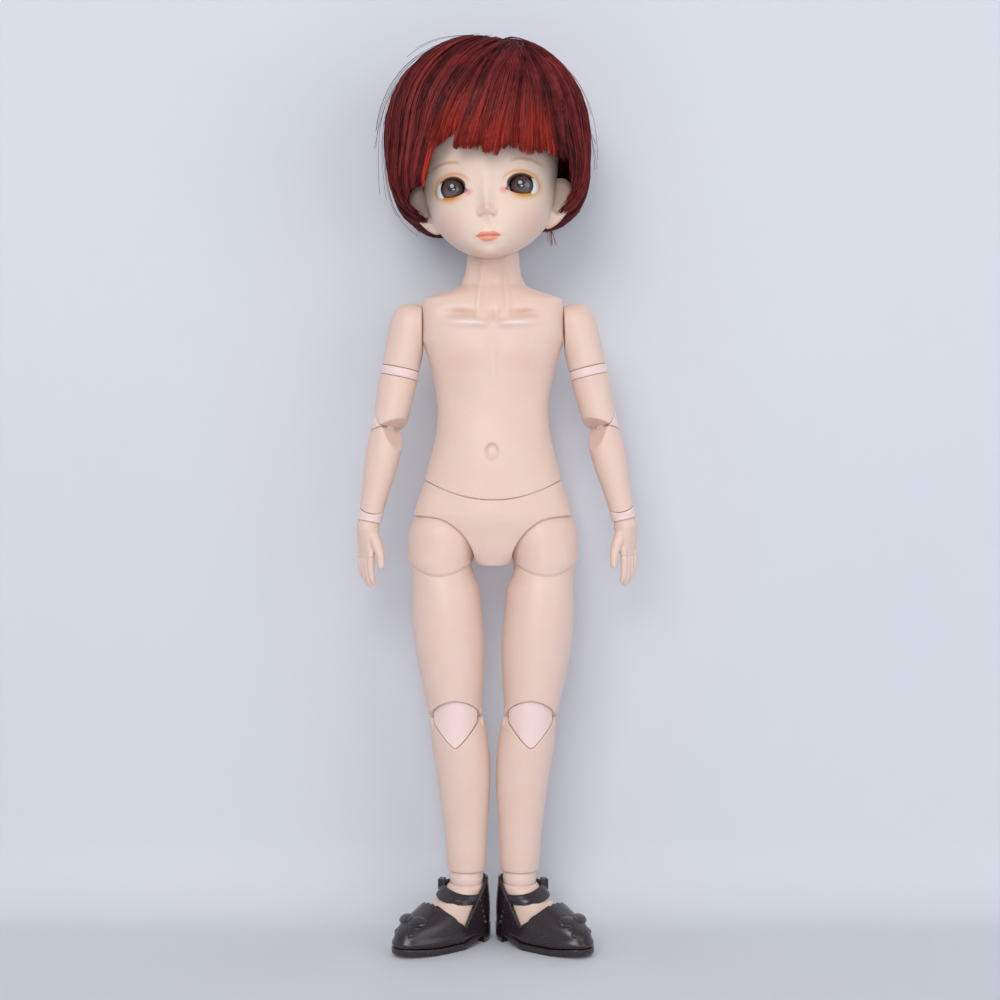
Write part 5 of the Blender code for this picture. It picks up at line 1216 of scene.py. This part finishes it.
def make_trunk_material():
    """Body plastic with painted shade in the hollows above the collarbones, in the pit of the throat and round the
    navel, strongest along the navel's upper rim, a painted highlight along the collarbones, and a warmer, darker
    patch low on each side of the chest.
    """
    material = plastic("trunk_plastic", moulding, rgb(232, 203, 188), rgb(228, 185, 166), 0.44)
    tree = material.node_tree
    shader = tree.nodes["Principled BSDF"]
    surface = next(n for n in tree.nodes if n.type == "GROUP")
    parts = node(tree, "ShaderNodeSeparateXYZ", {0: node(tree, "ShaderNodeTexCoord").outputs["Object"]})
    x = calc(tree, "MULTIPLY", parts.outputs[0], 1000.0)
    u = calc(tree, "ABSOLUTE", x)
    v = calc(tree, "MULTIPLY", parts.outputs[2], 1000.0)
    front = fade(tree, parts.outputs[1], -0.009, -0.004)
    color = surface.outputs["Color"]

    def paint(mask, tone, strength):
        nonlocal color
        color = mix(tree, times(tree, mask, strength, front), color, tone)

    # painted shade in the hollow above each collarbone
    paint(fade(tree, oval(tree, u, v, (10.0, 206.6), (8.5, 2.2), 3), 0.0, 1.0), rgb(206, 156, 136), 0.42)
    # painted highlight along each collarbone
    paint(fade(tree, oval(tree, u, v, (8.0, 203.2), (8.0, 1.9), 3), 0.0, 1.0), rgb(250, 232, 224), 0.55)
    # painted shade in the pit of the throat
    paint(fade(tree, oval(tree, u, v, (0.0, 206.0), (2.2, 2.6)), 0.1, 1.0), rgb(206, 152, 128), 0.45)
    paint(fade(tree, oval(tree, u, v, (8.5, 191.0), (9.0, 6.0)), 0.1, 1.0), rgb(218, 172, 150), 0.22)
    # painted shade round the navel, strongest along its upper rim
    ring_way = oval(tree, calc(tree, "ADD", x, 0.3), v, (0.0, 161.2), (2.0, 2.6))
    over = rise_to(tree, v, 160.0, 163.5)
    paint(times(tree, band(tree, ring_way, 1.0, 0.05, 0.22), over), rgb(196, 146, 126), 0.45)
    paint(times(tree, band(tree, ring_way, 1.0, 0.05, 0.22)), rgb(206, 160, 142), 0.15)
    tree.links.new(color, shader.inputs["Base Color"])
    return material


face_paint = make_face_material()
trunk_plastic = make_trunk_material()


# Eyes
def make_eye_material():
    material, tree, shader = new_material("glass_eye")
    place = node(tree, "ShaderNodeTexCoord").outputs["Object"]
    parts = node(tree, "ShaderNodeSeparateXYZ", {0: place})
    x = calc(tree, "MULTIPLY", parts.outputs[0], 1000.0)
    v = calc(tree, "MULTIPLY", parts.outputs[2], 1000.0)
    out = oval(tree, x, v, (0.0, -0.15), (1.11, 1.11))
    angle = node(tree, "ShaderNodeMath", {0: v, 1: x}, operation="ARCTAN2").outputs[0]
    fibre_place = node(tree, "ShaderNodeCombineXYZ", {0: calc(tree, "MULTIPLY", calc(tree, "SINE", angle), 9.0),
                                                      1: calc(tree, "MULTIPLY", calc(tree, "COSINE", angle), 9.0),
                                                      2: calc(tree, "MULTIPLY", out, 0.6)})
    fibre = node(tree, "ShaderNodeTexNoise", {"Vector": fibre_place.outputs[0], "Scale": 2.2, "Detail": 4.0})
    iris = mix(tree, fibre.outputs[0], rgb(36, 22, 22), rgb(112, 86, 84))
    iris = mix(tree, fade(tree, out, 1.15, 1.5), iris, rgb(6, 3, 4))
    iris = mix(tree, times(tree, rise_to(tree, out, 2.55, 3.05), 0.98), iris, rgb(5, 3, 3))
    white = mix(tree, rise_to(tree, out, 3.6, 5.4), rgb(238, 234, 228), rgb(216, 186, 172))
    color = mix(tree, rise_to(tree, out, 3.42, 3.62), iris, white)
    tree.links.new(color, shader.inputs["Base Color"])
    shader.inputs["Roughness"].default_value = 0.6
    shader.inputs["Specular IOR Level"].default_value = 0.1
    shader.inputs["Coat Weight"].default_value = 1.0
    shader.inputs["Coat IOR"].default_value = 1.8
    shader.inputs["Coat Roughness"].default_value = 0.02
    return material


def make_eyes():
    glass = make_eye_material()
    for side_name, side in SIDES.items():
        place = head_frame() @ at(side * EYE_OUT, -EYE_FORWARD - NECK_BACK, EYE_RISE)
        points, faces = ball((0, 0, 0), (0.0062, 0.0060, 0.0062), 96, 64)
        x, y, z = points.T
        out = np.sqrt(x * x + z * z)
        dome = np.clip(1 - (out / 0.0036) ** 2, 0, 1)
        points[:, 1] -= np.where(y < 0, dome * 0.0005, 0)
        form = Form(f"eye_{side_name}", (points, faces), place @ at(0, -0.0002, 0))
        form.cut(block((-0.02, 0.0030, -0.02), (0.02, 0.02, 0.02)))
        mesh = form.mesh(0, 0)
        name = f"eye_{side_name}"
        show(f"{name}_form", mesh, place, name, glass, level=False)


# Wig
WIG_CENTRE = np.array((0, -0.0020, 0.0345))
CROWN = np.array((0.35, -0.456, 0.818))
PARTINGS = [(-180, 0.00, 0.20, 0.98), (-120, -0.10, 0.06, 1.00), (-85, -0.16, -0.10, 0.98),
            (-60, -0.05, -0.24, 0.96), (-40, 0.20, -0.40, 0.88), (-20, 0.35, -0.456, 0.818),
            (60, 0.35, -0.456, 0.818), (100, 0.28, -0.20, 0.94), (130, 0.12, 0.06, 0.99),
            (180, 0.00, 0.20, 0.98)]
HEM = [(-180, 2), (-125, 2.5), (-104, 3.5), (-90, 5), (-76, 8), (-62, 11), (-52, 13.5), (-47, 15.5),
       (-36.5, 16.0), (-35, 25.5), (-28, 27.6), (-22.5, 28.8), (-21, 36), (-18.5, 36.5), (-17, 26.2), (-8, 26.0), (0, 24.6),
       (8, 23.2), (15, 26.2), (27, 23.2), (38, 24.4), (43, 23.0), (55, 21.5), (58, 16.5), (63, 13.0),
       (70, 10.5), (80, 8), (90, 6), (104, 4), (125, 2.8), (180, 2)]
STEPS = 16


def wig_radius(way):
    """Distance from the wig's centre to its surface along directions, as rows of (x, y, z)."""
    x, y, z = way.T
    a = 0.0346
    b = np.where(y < 0, 0.0311, 0.0322)
    c = np.where(z > 0, 0.0337, 0.0325)
    p = 2.1 + 1.1 * ramp(-z, 0.0, 0.7)
    total = (np.abs(x) / a) ** p + (np.abs(y) / b) ** p + (np.abs(z) / c) ** p
    return total ** (-1 / p)


def hem_direction(azimuth, height):
    """Direction from the wig's centre to its surface at an azimuth and a height, in metres."""
    azimuth = np.radians(azimuth)
    flat = np.stack([np.sin(azimuth), -np.cos(azimuth)], 1)
    way = np.zeros((len(azimuth), 3))
    slope = np.zeros(len(azimuth))
    for _ in range(14):
        way = np.column_stack([flat, slope])
        way /= np.linalg.norm(way, axis=1)[:, None]
        radius = wig_radius(way)
        wanted = height - WIG_CENTRE[2]
        flat_reach = np.sqrt(np.maximum(radius**2 - wanted**2, 1e-8))
        slope = 0.5 * slope + 0.5 * wanted / flat_reach
    return way


def table_at(table, azimuth):
    table = np.array(table, float)
    return np.stack([np.interp(azimuth, table[:, 0], column) for column in table[:, 1:].T], 1)


def unit(values):
    return values / (np.linalg.norm(values, axis=-1)[..., None] + 1e-12)


def wig_paths(azimuth, height, share):
    """Directions over the wig from the parting to the hem: strand by step by xyz."""
    hem = hem_direction(azimuth, height)[:, None]
    scatter = np.sin(azimuth[:, None] * np.array((12.9, 7.7, 5.3))) * 0.07
    first = unit(table_at(PARTINGS, azimuth) + scatter)[:, None]
    high = hem_direction(azimuth, np.full(len(azimuth), 0.0560))[:, None]
    middle = 0.44 * hem + 0.44 * first + 0.22 * high
    s = share[..., None]
    return unit((1 - s) ** 2 * first + 2 * s * (1 - s) * middle + s * s * hem)


def lay_locks(rng, azimuth, height, first, last, each, width, level):
    """Locks of hair: each a tapered bundle whose middle stands above its edges."""
    count = len(azimuth)
    across = np.linspace(-1, 1, each)[None, :] + rng.normal(0, 0.12, (count, each))
    across = across.ravel()

    def spread(values):
        return np.repeat(values, each)

    total = count * each
    along = np.linspace(0, 1, STEPS)[None, :]
    end = spread(last) + rng.normal(0, 0.018, total)
    start = spread(first) + rng.uniform(-0.03, 0.03, total)
    share = np.clip(start[:, None] + (end - start)[:, None] * along, 0, 1.04)
    way = wig_paths(spread(azimuth), spread(height), share)
    radius = wig_radius(way.reshape(-1, 3)).reshape(share.shape)
    side_hair = ramp(np.abs(spread(azimuth)), 55, 80)[:, None]
    tuck = 1 - 0.06 * ramp(share, 0.75, 1.0) * side_hair
    lift = 1 - spread(level)[:, None] - 0.06 * (1 - ramp(along, 0.0, 0.35)) * (start[:, None] > 0.02)
    lift = lift - 0.035 * np.exp(-share / 0.05)
    centre = way * (radius * lift * tuck)[..., None]
    tangent = unit(np.gradient(centre, axis=1))
    cross = unit(np.cross(tangent, way))
    broad = spread(width)[:, None] * (0.3 + 0.7 * ramp(share, 0.0, 0.3)) * (1 - 0.62 * ramp(along, 0.72, 1.0))
    wave_phase = spread(rng.uniform(0, 6.3, count))[:, None]
    wave_size = spread(rng.uniform(0.1, 1.0, count) * (0.0003 + 0.0007 * ramp(azimuth, 15, 50)))[:, None]
    shift = across[:, None] * broad / 2 + wave_size * np.sin(share * 9 + wave_phase) * along
    shift = shift + rng.normal(0, 0.00018, total)[:, None] * along
    rise = (1 - across**2)[:, None] * 0.00042 + rng.normal(0, 0.00010, total)[:, None]
    points = centre + cross * shift[..., None] + way * rise[..., None] + WIG_CENTRE
    thick = 0.000155 * (1 - 0.65 * along**4) * rng.uniform(0.7, 1.15, total)[:, None]
    return points, thick * np.ones_like(share)


def ribbon_mesh(name, paths, radii, shades, tones, sides=3):
    """All strands as one mesh of thin tubes. Each point carries its strand's shade and its place."""
    strands, count, _ = paths.shape
    along = np.gradient(paths, axis=1)
    along /= np.linalg.norm(along, axis=2)[..., None] + 1e-12
    outward = paths - WIG_CENTRE
    outward /= np.linalg.norm(outward, axis=2)[..., None]
    across = np.cross(along, outward)
    across /= np.linalg.norm(across, axis=2)[..., None] + 1e-12
    outward = np.cross(across, along)
    rings = []
    for step in range(sides):
        angle = 2 * math.pi * step / sides + math.pi / 2
        rings.append(paths + (across * math.cos(angle) + outward * math.sin(angle)) * radii[..., None])
    points = np.stack(rings, 2).reshape(-1, 3)
    base = (np.arange(strands)[:, None] * count + np.arange(count - 1)[None, :]) * sides
    quads = []
    for step in range(sides):
        after = (step + 1) % sides
        quads.append(np.stack([base + step, base + after, base + sides + after, base + sides + step], 2))
    quads = np.concatenate(quads).reshape(-1, 4)
    points = points @ np.array(head_frame().to_3x3()).T
    mesh = bpy.data.meshes.new(name)
    mesh.vertices.add(len(points))
    mesh.vertices.foreach_set("co", points.ravel())
    mesh.loops.add(quads.size)
    mesh.loops.foreach_set("vertex_index", quads.ravel())
    mesh.polygons.add(len(quads))
    mesh.polygons.foreach_set("loop_start", np.arange(len(quads)) * 4)
    mesh.update(calc_edges=True)
    mesh.shade_smooth()
    shade = mesh.attributes.new("shade", "FLOAT", "POINT")
    steps = np.tile(np.repeat(np.linspace(0, 1, count), sides), strands)
    # painted shade: each strand darkens toward its root, so the hair is darker near the parting and crown
    dark = np.repeat(shades, count * sides) * (0.45 + 0.55 * ramp(steps, 0.0, 0.4))
    shade.data.foreach_set("value", dark.astype(np.float32))
    place = mesh.attributes.new("bright", "FLOAT", "POINT")
    tips = np.repeat(tones, count * sides) * ramp(steps, 0.50, 0.85)
    place.data.foreach_set("value", tips.astype(np.float32))
    return mesh


def make_hair_material(name, low, high, bright, gleam):
    material, tree, shader = new_material(name)
    shade = node(tree, "ShaderNodeAttribute", attribute_name="shade").outputs["Fac"]
    tip = node(tree, "ShaderNodeAttribute", attribute_name="bright").outputs["Fac"]
    place = node(tree, "ShaderNodeTexCoord").outputs["Object"]
    lock = node(tree, "ShaderNodeTexNoise", {"Vector": place, "Scale": 230.0, "Detail": 2.0})
    share = calc(tree, "ADD", shade, calc(tree, "MULTIPLY_ADD", lock.outputs[0], 0.8, -0.40), clamp=True)
    color = mix(tree, share, low, high)
    color = mix(tree, calc(tree, "MULTIPLY", tip, 0.9), color, mix(tree, shade, rgb(104, 12, 12), bright))
    tree.links.new(color, shader.inputs["Base Color"])
    rough = calc(tree, "MULTIPLY_ADD", lock.outputs[0], 0.2, 0.28)
    tree.links.new(rough, shader.inputs["Roughness"])
    shader.inputs["Specular IOR Level"].default_value = gleam
    return material


def make_wig():
    rng = np.random.default_rng(11)
    hem = np.array(HEM, float)
    locks = 820
    azimuth = np.concatenate([rng.uniform(-64, 66, 360), rng.uniform(-180, 180, locks - 360)])
    away = azimuth + 19.8
    azimuth = azimuth + np.sign(away) * 2.2 * np.exp(-((away / 4) ** 2))
    height = np.interp(azimuth, hem[:, 0], hem[:, 1]) / 1000
    first = np.where(rng.uniform(0, 1, locks) < 0.45, 0.0, rng.uniform(0.05, 0.55, locks))
    last = np.clip(1 + rng.normal(0, 0.02, locks), 0.93, 1.03)
    fringe = (azimuth > -39) & (azimuth < 43)
    short = (rng.uniform(0, 1, locks) < 0.25) & ~fringe
    last = np.where(short, rng.uniform(0.72, 0.95, locks), last)
    width = rng.uniform(0.0012, 0.0026, locks)
    level = rng.uniform(0.012, 0.075, locks)
    each = 11
    inner = rng.uniform(0, 1, locks) < 0.5
    inner &= (np.abs(azimuth) > 44) & (np.abs(azimuth) < 74)
    level = np.where(inner, rng.uniform(0.09, 0.20, locks), level)
    height = np.where(inner, np.maximum(height, 0.0225), height)
    points, thick = lay_locks(rng, azimuth, height, first, last, each, width, level)
    # Each lock gets its own tone at random; the inner locks, which lie beneath the outer ones, are darkened as
    # painted shade.
    shades = np.repeat(rng.uniform(0, 1, locks) ** 1.9 * np.where(inner, 0.3, 1), each) * 0.85
    shades += rng.uniform(0, 0.35, locks * each) * np.repeat(np.where(inner, 0.4, 1), each)
    tones = np.repeat(fringe * rng.uniform(0.5, 1.0, locks), each)
    hair = make_hair_material("wig_fibre", rgb(28, 5, 8), rgb(150, 54, 54), rgb(226, 68, 42), 0.2)
    strands = ribbon_mesh("wig_strands", points, thick, np.clip(shades, 0, 1), tones)
    head_place = at(*head_frame().to_translation())
    show("wig_strands", strands, head_place, "wig", hair)

    loose = 46
    azimuth = np.concatenate([rng.uniform(-95, -20, 30), rng.uniform(20, 100, 16)])
    height = np.interp(azimuth, hem[:, 0], hem[:, 1]) / 1000
    first = rng.uniform(0.0, 0.5, loose)
    last = first + rng.uniform(0.25, 0.55, loose)
    share = first[:, None] + (last - first)[:, None] * np.linspace(0, 1, STEPS)
    way = wig_paths(azimuth, height, np.clip(share, 0, 1))
    radius = wig_radius(way.reshape(-1, 3)).reshape(share.shape)
    out = 1 + rng.uniform(0.0, 0.15, loose)[:, None] * np.linspace(0, 1, STEPS) ** 1.5
    points = way * (radius * out)[..., None] + WIG_CENTRE
    points[..., 1] = np.maximum(points[..., 1], -0.0312)
    thin = np.full(share.shape, 0.00007)
    tuft = 9
    top = np.array((0.0190, 0.0080, 0.0085)) + rng.normal(0, 0.0006, (tuft, 3))
    fall = np.linspace(0, 1, STEPS)[None, :, None]
    lean = rng.normal(0, 0.0012, (tuft, 1, 3)) * (1, 1, 0) + np.array((0.0006, 0.0, -0.0085))
    hanging = top[:, None] + lean * fall
    points = np.concatenate([points, hanging])
    thin = np.concatenate([thin, np.full((tuft, STEPS), 0.00009)])
    shades = np.concatenate([rng.uniform(0.0, 0.6, loose), rng.uniform(0.8, 1.0, tuft)])
    wisps = ribbon_mesh("wig_wisps", points, thin, shades, np.zeros(loose + tuft))
    obj = bpy.data.objects.new("wig_wisps", wisps)
    obj.matrix_world = head_place
    bpy.context.scene.collection.objects.link(obj)
    wisps.materials.append(hair)
    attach(obj, "head")

    azimuth = np.linspace(-180, 180, 241)[:-1]
    height = np.interp(azimuth, hem[:, 0], hem[:, 1]) / 1000 + 0.0015
    window = ramp(np.abs(azimuth), 24, 32) * (1 - ramp(np.abs(azimuth), 98, 114))
    height = np.maximum(height, np.where(np.abs(azimuth) < 50, 0.0265, 0.0245) * window)
    shell = hem_direction(azimuth, np.full(240, 0.0600))
    rows = []
    for part in np.linspace(0.02, 1, 50):
        top_way = unit(np.array((0, 0, 1.0)) * (1 - part) + shell * part)
        rows.append(top_way)
    for part in np.linspace(0, 1, 50)[1:]:
        level_height = 0.0600 * (1 - part) + height * part
        rows.append(hem_direction(azimuth, level_height))
    outer = [way * (wig_radius(way) * 0.915)[:, None] + WIG_CENTRE for way in rows]
    inner = [rows[-1] * (wig_radius(rows[-1]) * part)[:, None] + WIG_CENTRE for part in (0.87, 0.80, 0.74)]
    base = Form("wig_cap", skin([*outer, *inner]))
    mesh = base.mesh(0, 0)
    count = len(mesh.vertices)
    streaks = np.resize(rng.uniform(0, 1, 240) ** 1.5, count)
    for label, value in (("shade", 1.0), ("bright", 0.0)):
        attribute = mesh.attributes.new(label, "FLOAT", "POINT")
        attribute.data.foreach_set("value", (streaks * value).astype(np.float32))
    # The cap stands for hair beneath the locks: its fibre colours are darker than the locks' as painted shade, with
    # streaks of random tone.
    under = make_hair_material("wig_cap_fibre", rgb(26, 5, 8), rgb(96, 26, 28), rgb(50, 8, 10), 0.05)
    obj = bpy.data.objects.new("wig_cap", mesh)
    mesh.transform(head_place.inverted() @ head_frame())
    obj.matrix_world = head_place
    bpy.context.scene.collection.objects.link(obj)
    mesh.materials.clear()
    mesh.materials.append(under)
    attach(obj, "head")


# Feet and shoes
FOOT_ROWS = [(0.00, 0.94, 0.97, 0.94), (0.30, 1.00, 1.00, 1.00), (0.45, 0.98, 0.92, 0.98),
             (0.60, 0.92, 0.70, 0.95), (0.75, 0.86, 0.46, 0.88), (0.88, 0.82, 0.29, 0.80),
             (1.00, 0.80, 0.22, 0.76)]
FOOT_TALL, FOOT_HALF, TOE, HEEL = 0.0180, 0.0075, 0.0285, 0.0069
ARCH, WALL, SOLE_EDGE = 0.0085, 0.0012, 0.0007


def foot_outline(height, grow, width, front, back, sides=180):
    """A level outline of the foot at a height above the floor, narrower toward the heel."""
    half = FOOT_HALF * width
    outline = np.where(ring(0, half, front, back, sides=sides)[:, 1:2] < 0,
                       ring(0, half, front, back, power=2.4, sides=sides),
                       ring(0, half, front, back, sides=sides))
    lower = 1 - min(max(height / FOOT_TALL, 0), 1)
    x, y = outline[:, 0], outline[:, 1]
    narrow = 1 - 0.44 * np.clip((y + ARCH) / (HEEL + ARCH), 0, 1) * lower
    away = unit(np.stack([x / FOOT_HALF, y / np.where(y < 0, front, back)], 1))
    made = np.stack([x * narrow, y, np.full(sides, height - ANKLE_HEIGHT)], 1)
    made[:, :2] += away * grow
    return made


def foot_rings(grow, bottom, top, bead=0.0):
    rings = []
    for rise, width, front, back in fine(FOOT_ROWS, 60):
        height = bottom + (top - bottom) * rise
        more = bead * math.exp(-(((height - 0.0042) / 0.0009) ** 2))
        rings.append(foot_outline(height, grow + more, width, TOE * front, HEEL * back))
    return rings


def sole_top(lift):
    top = [(-TOE - OVERRUN, 0.0030), (-TOE, 0.0030), (-TOE + ARCH, 0.0022), (-ARCH, 0.0022),
           (0.0010, 0.0052), (HEEL + OVERRUN, 0.0052)]
    return [(y, z + lift - ANKLE_HEIGHT) for y, z in top]


def below_sole_top(lift):
    low = -ANKLE_HEIGHT - OVERRUN
    outline = [(-TOE - OVERRUN, low), *sole_top(lift), (HEEL + OVERRUN, low)]
    return prism(outline, "X", -0.0175, 0.0175)


def make_vinyl():
    material = plastic("shoe_vinyl", moulding, rgb(42, 31, 35), rgb(30, 20, 24), 0.27, 0.6, 0.02, 0.0, 0.3)
    material.node_tree.nodes["Principled BSDF"].inputs["Coat Roughness"].default_value = 0.2
    return material


def make_feet():
    collar = [(0.0186, 0.0058), (0.0192, 0.0055)]
    top = [ring(height - ANKLE_HEIGHT, *(r,) * 3, sides=180) for height, r in collar]
    foot = Form("foot", skin(foot_rings(0.0, 0.0, FOOT_TALL) + top))
    foot.cut(ball((0, 0, 0), (0.0056 + SEEN,) * 3))
    foot.cut(below_sole_top(GAP))
    show_pair("foot", foot.mesh(0.00026, 3), foot_frame, body_plastic)


def shoe_opening():
    """The opening of a shoe with a scalloped throat, as level outlines from its lowest point up."""
    rings = []
    x = np.linspace(-0.0105, 0.0105, 160)
    for height in np.linspace(0.0070, 0.0300, 70):
        rise = min(max((height - 0.0070) / 0.0075, 0), 1)
        front = -0.0085 - 0.0080 * rise**0.85
        scallop = np.abs(np.sin(math.pi * (np.abs(x) * 1000 + rise * 9.0) / 2.2)) * 0.0009
        back = np.interp(height, [0.0070, 0.0165, 0.0210, 0.0300], [-0.0080, -0.0005, 0.0035, 0.0200])
        line = np.concatenate([np.stack([x, front + scallop], 1),
                               np.stack([x[::-1], np.full(160, max(back, front + 0.0005))], 1)])
        rings.append(np.column_stack([line, np.full(320, height - ANKLE_HEIGHT)]))
    return skin(rings)


def make_uppers(vinyl):
    grow = GAP + WALL
    upper = Form("shoe_upper", skin(foot_rings(grow, -WALL, 0.0210, 0.0004)))
    upper.cut(skin(foot_rings(GAP, -GAP, FOOT_TALL + GAP) + [
        ring(height, 0.0062, 0.0062, 0.0062, sides=180) for height in (0.0, OVERRUN)]))
    upper.cut(shoe_opening())
    upper.cut(below_sole_top(SEEN))
    bow = at(0, -0.0238, 0.0102 - ANKLE_HEIGHT) @ turn(30, "X")
    for side in (-1, 1):
        lobe = bow @ at(side * 0.0029, 0.0003, 0.0004) @ turn(side * 14, "Z") @ turn(side * 8, "Y")
        upper.join(ball((0, 0, 0), (0.0034, 0.0023, 0.0010), 48, 24), lobe)
        tail = [(side * 0.0002, -0.0006, 0.0002), (side * 0.0016, -0.0024, 0.0002),
                (side * 0.0032, -0.0044, -0.0006)]
        upper.join(tube(np.array(tail), [0.0008, 0.0011, 0.0012], 16, 0.5), bow)
        upper.cut(rod((side * 0.0010, 0, 0.0022), (side * 0.0048, side * 0.0004, 0.0016), 0.0005), bow @ turn(side * 14, "Z"))
        for step in range(5):
            height = 0.0070 + 0.0018 * step - ANKLE_HEIGHT
            out = 0.0068 - 0.00012 * step
            upper.join(ball((side * (out + 0.0012), 0.0012 - 0.0005 * step, height), (0.0005, 0.0003, 0.0006), 16, 8))
    upper.join(ball((0, 0, 0.0006), (0.0011, 0.0015, 0.0011), 32, 16), bow)
    show_pair("shoe_upper", upper.mesh(0.0002, 2), foot_frame, vinyl)


def make_soles(vinyl):
    bottom = [(HEEL + OVERRUN, 0), (0.0010, 0), (0.0010, 0.0032), (-ARCH, 0), (-TOE + ARCH, 0),
              (-TOE - WALL, 0.0010), (-TOE - OVERRUN, 0.0010)]
    outline = [(y, z - ANKLE_HEIGHT) for y, z in bottom] + sole_top(0.0)
    sole = Form("shoe_sole", prism(outline, "X", -0.0175, 0.0175))
    levels = [-0.0100, 0.0008, 0.0013, 0.0018, 0.0030, 0.0200]
    inset = [0.0003, 0.0003, 0.0, 0.0, 0.0, 0.0]
    grow = GAP + WALL + SOLE_EDGE
    rings = [foot_outline(0.0, grow - less, 1.0, TOE, HEEL) for less in inset]
    for outline_ring, level in zip(rings, levels):
        outline_ring[:, 2] = level - ANKLE_HEIGHT
    sole.keep(skin(rings))
    show_pair("shoe_sole", sole.mesh(0.0002, 3), foot_frame, vinyl)


def foot_section(height, grow):
    row = [np.interp(height / FOOT_TALL, [r[0] for r in FOOT_ROWS], [r[i] for r in FOOT_ROWS]) for i in (1, 2, 3)]
    return foot_outline(height, grow, row[0], TOE * row[1], HEEL * row[2])


def make_straps(vinyl):
    """A ridged band that rises to the outer side, with a square button in a loop."""
    front = [i for i in range(180) if foot_section(0.0162, GAP)[i, 1] < 0.0004]
    sections = []
    for turn_step in range(20):
        angle = 2 * math.pi * turn_step / 20
        out = 0.5 + 0.5 * math.copysign(abs(math.cos(angle)) ** 0.6, math.cos(angle))
        height = 0.0162 + 0.0015 * math.copysign(abs(math.sin(angle)) ** 0.8, math.sin(angle))
        ridge = 0.00022 * max(math.cos(angle), 0) * math.exp(-((height - 0.0162) / 0.0005) ** 2)
        sections.append(foot_section(height, GAP + 0.0009 * out + ridge)[front])
    rings = list(np.stack(sections, 1))
    for loop in rings:
        loop[:, 2] += 0.22 * loop[:, 0]
    strap = Form("shoe_strap", skin(rings))
    middles = np.array([loop.mean(axis=0) for loop in rings])
    angles = np.degrees(np.arctan2(middles[:, 1], middles[:, 0]))
    end = middles[np.argmin(np.abs(angles + 34))]
    button = at(*(end + np.array((0.0003, -0.0002, 0.0004)))) @ turn(-34, "Z")
    strap.join(block((-0.0006, -0.0015, -0.0018), (0.0014, 0.0015, 0.0018)), button)
    for place in (-0.0011, 0.0, 0.0011):
        strap.join(rod((0.0012, place, -0.0017), (0.0012, place, 0.0017), 0.00042, sides=20), button)
    show_pair("shoe_strap", strap.mesh(0.00018, 4), foot_frame, vinyl)


def make_shoes():
    vinyl = make_vinyl()
    make_feet()
    make_uppers(vinyl)
    make_soles(vinyl)
    make_straps(vinyl)


make_stage()
make_lights_and_camera()
make_head()
make_eyes()
make_wig()
make_shoes()
make_thighs()
make_shins()
make_ankles()
show_pair("knee_joint", hinge_mesh("knee_joint", KNEE), knee_frame, joint_plastic)
make_pelvis()
make_torso()
make_shoulders()
make_arm_rings()
make_lower_arms()
show_pair("elbow_joint", hinge_mesh("elbow_joint", ELBOW), elbow_frame, joint_plastic)
make_forearms()
make_wrists()
make_hands()

KEPT = {
    "inner_plastic": inner_plastic,
    "steel": steel,
}
for name, obj in frame["nodes"].items():
    if obj.hide_render:
        continue
    for slot in obj.material_slots:
        key = slot.material.name.split(".")[0]
        if key in KEPT:
            slot.material = KEPT[key]
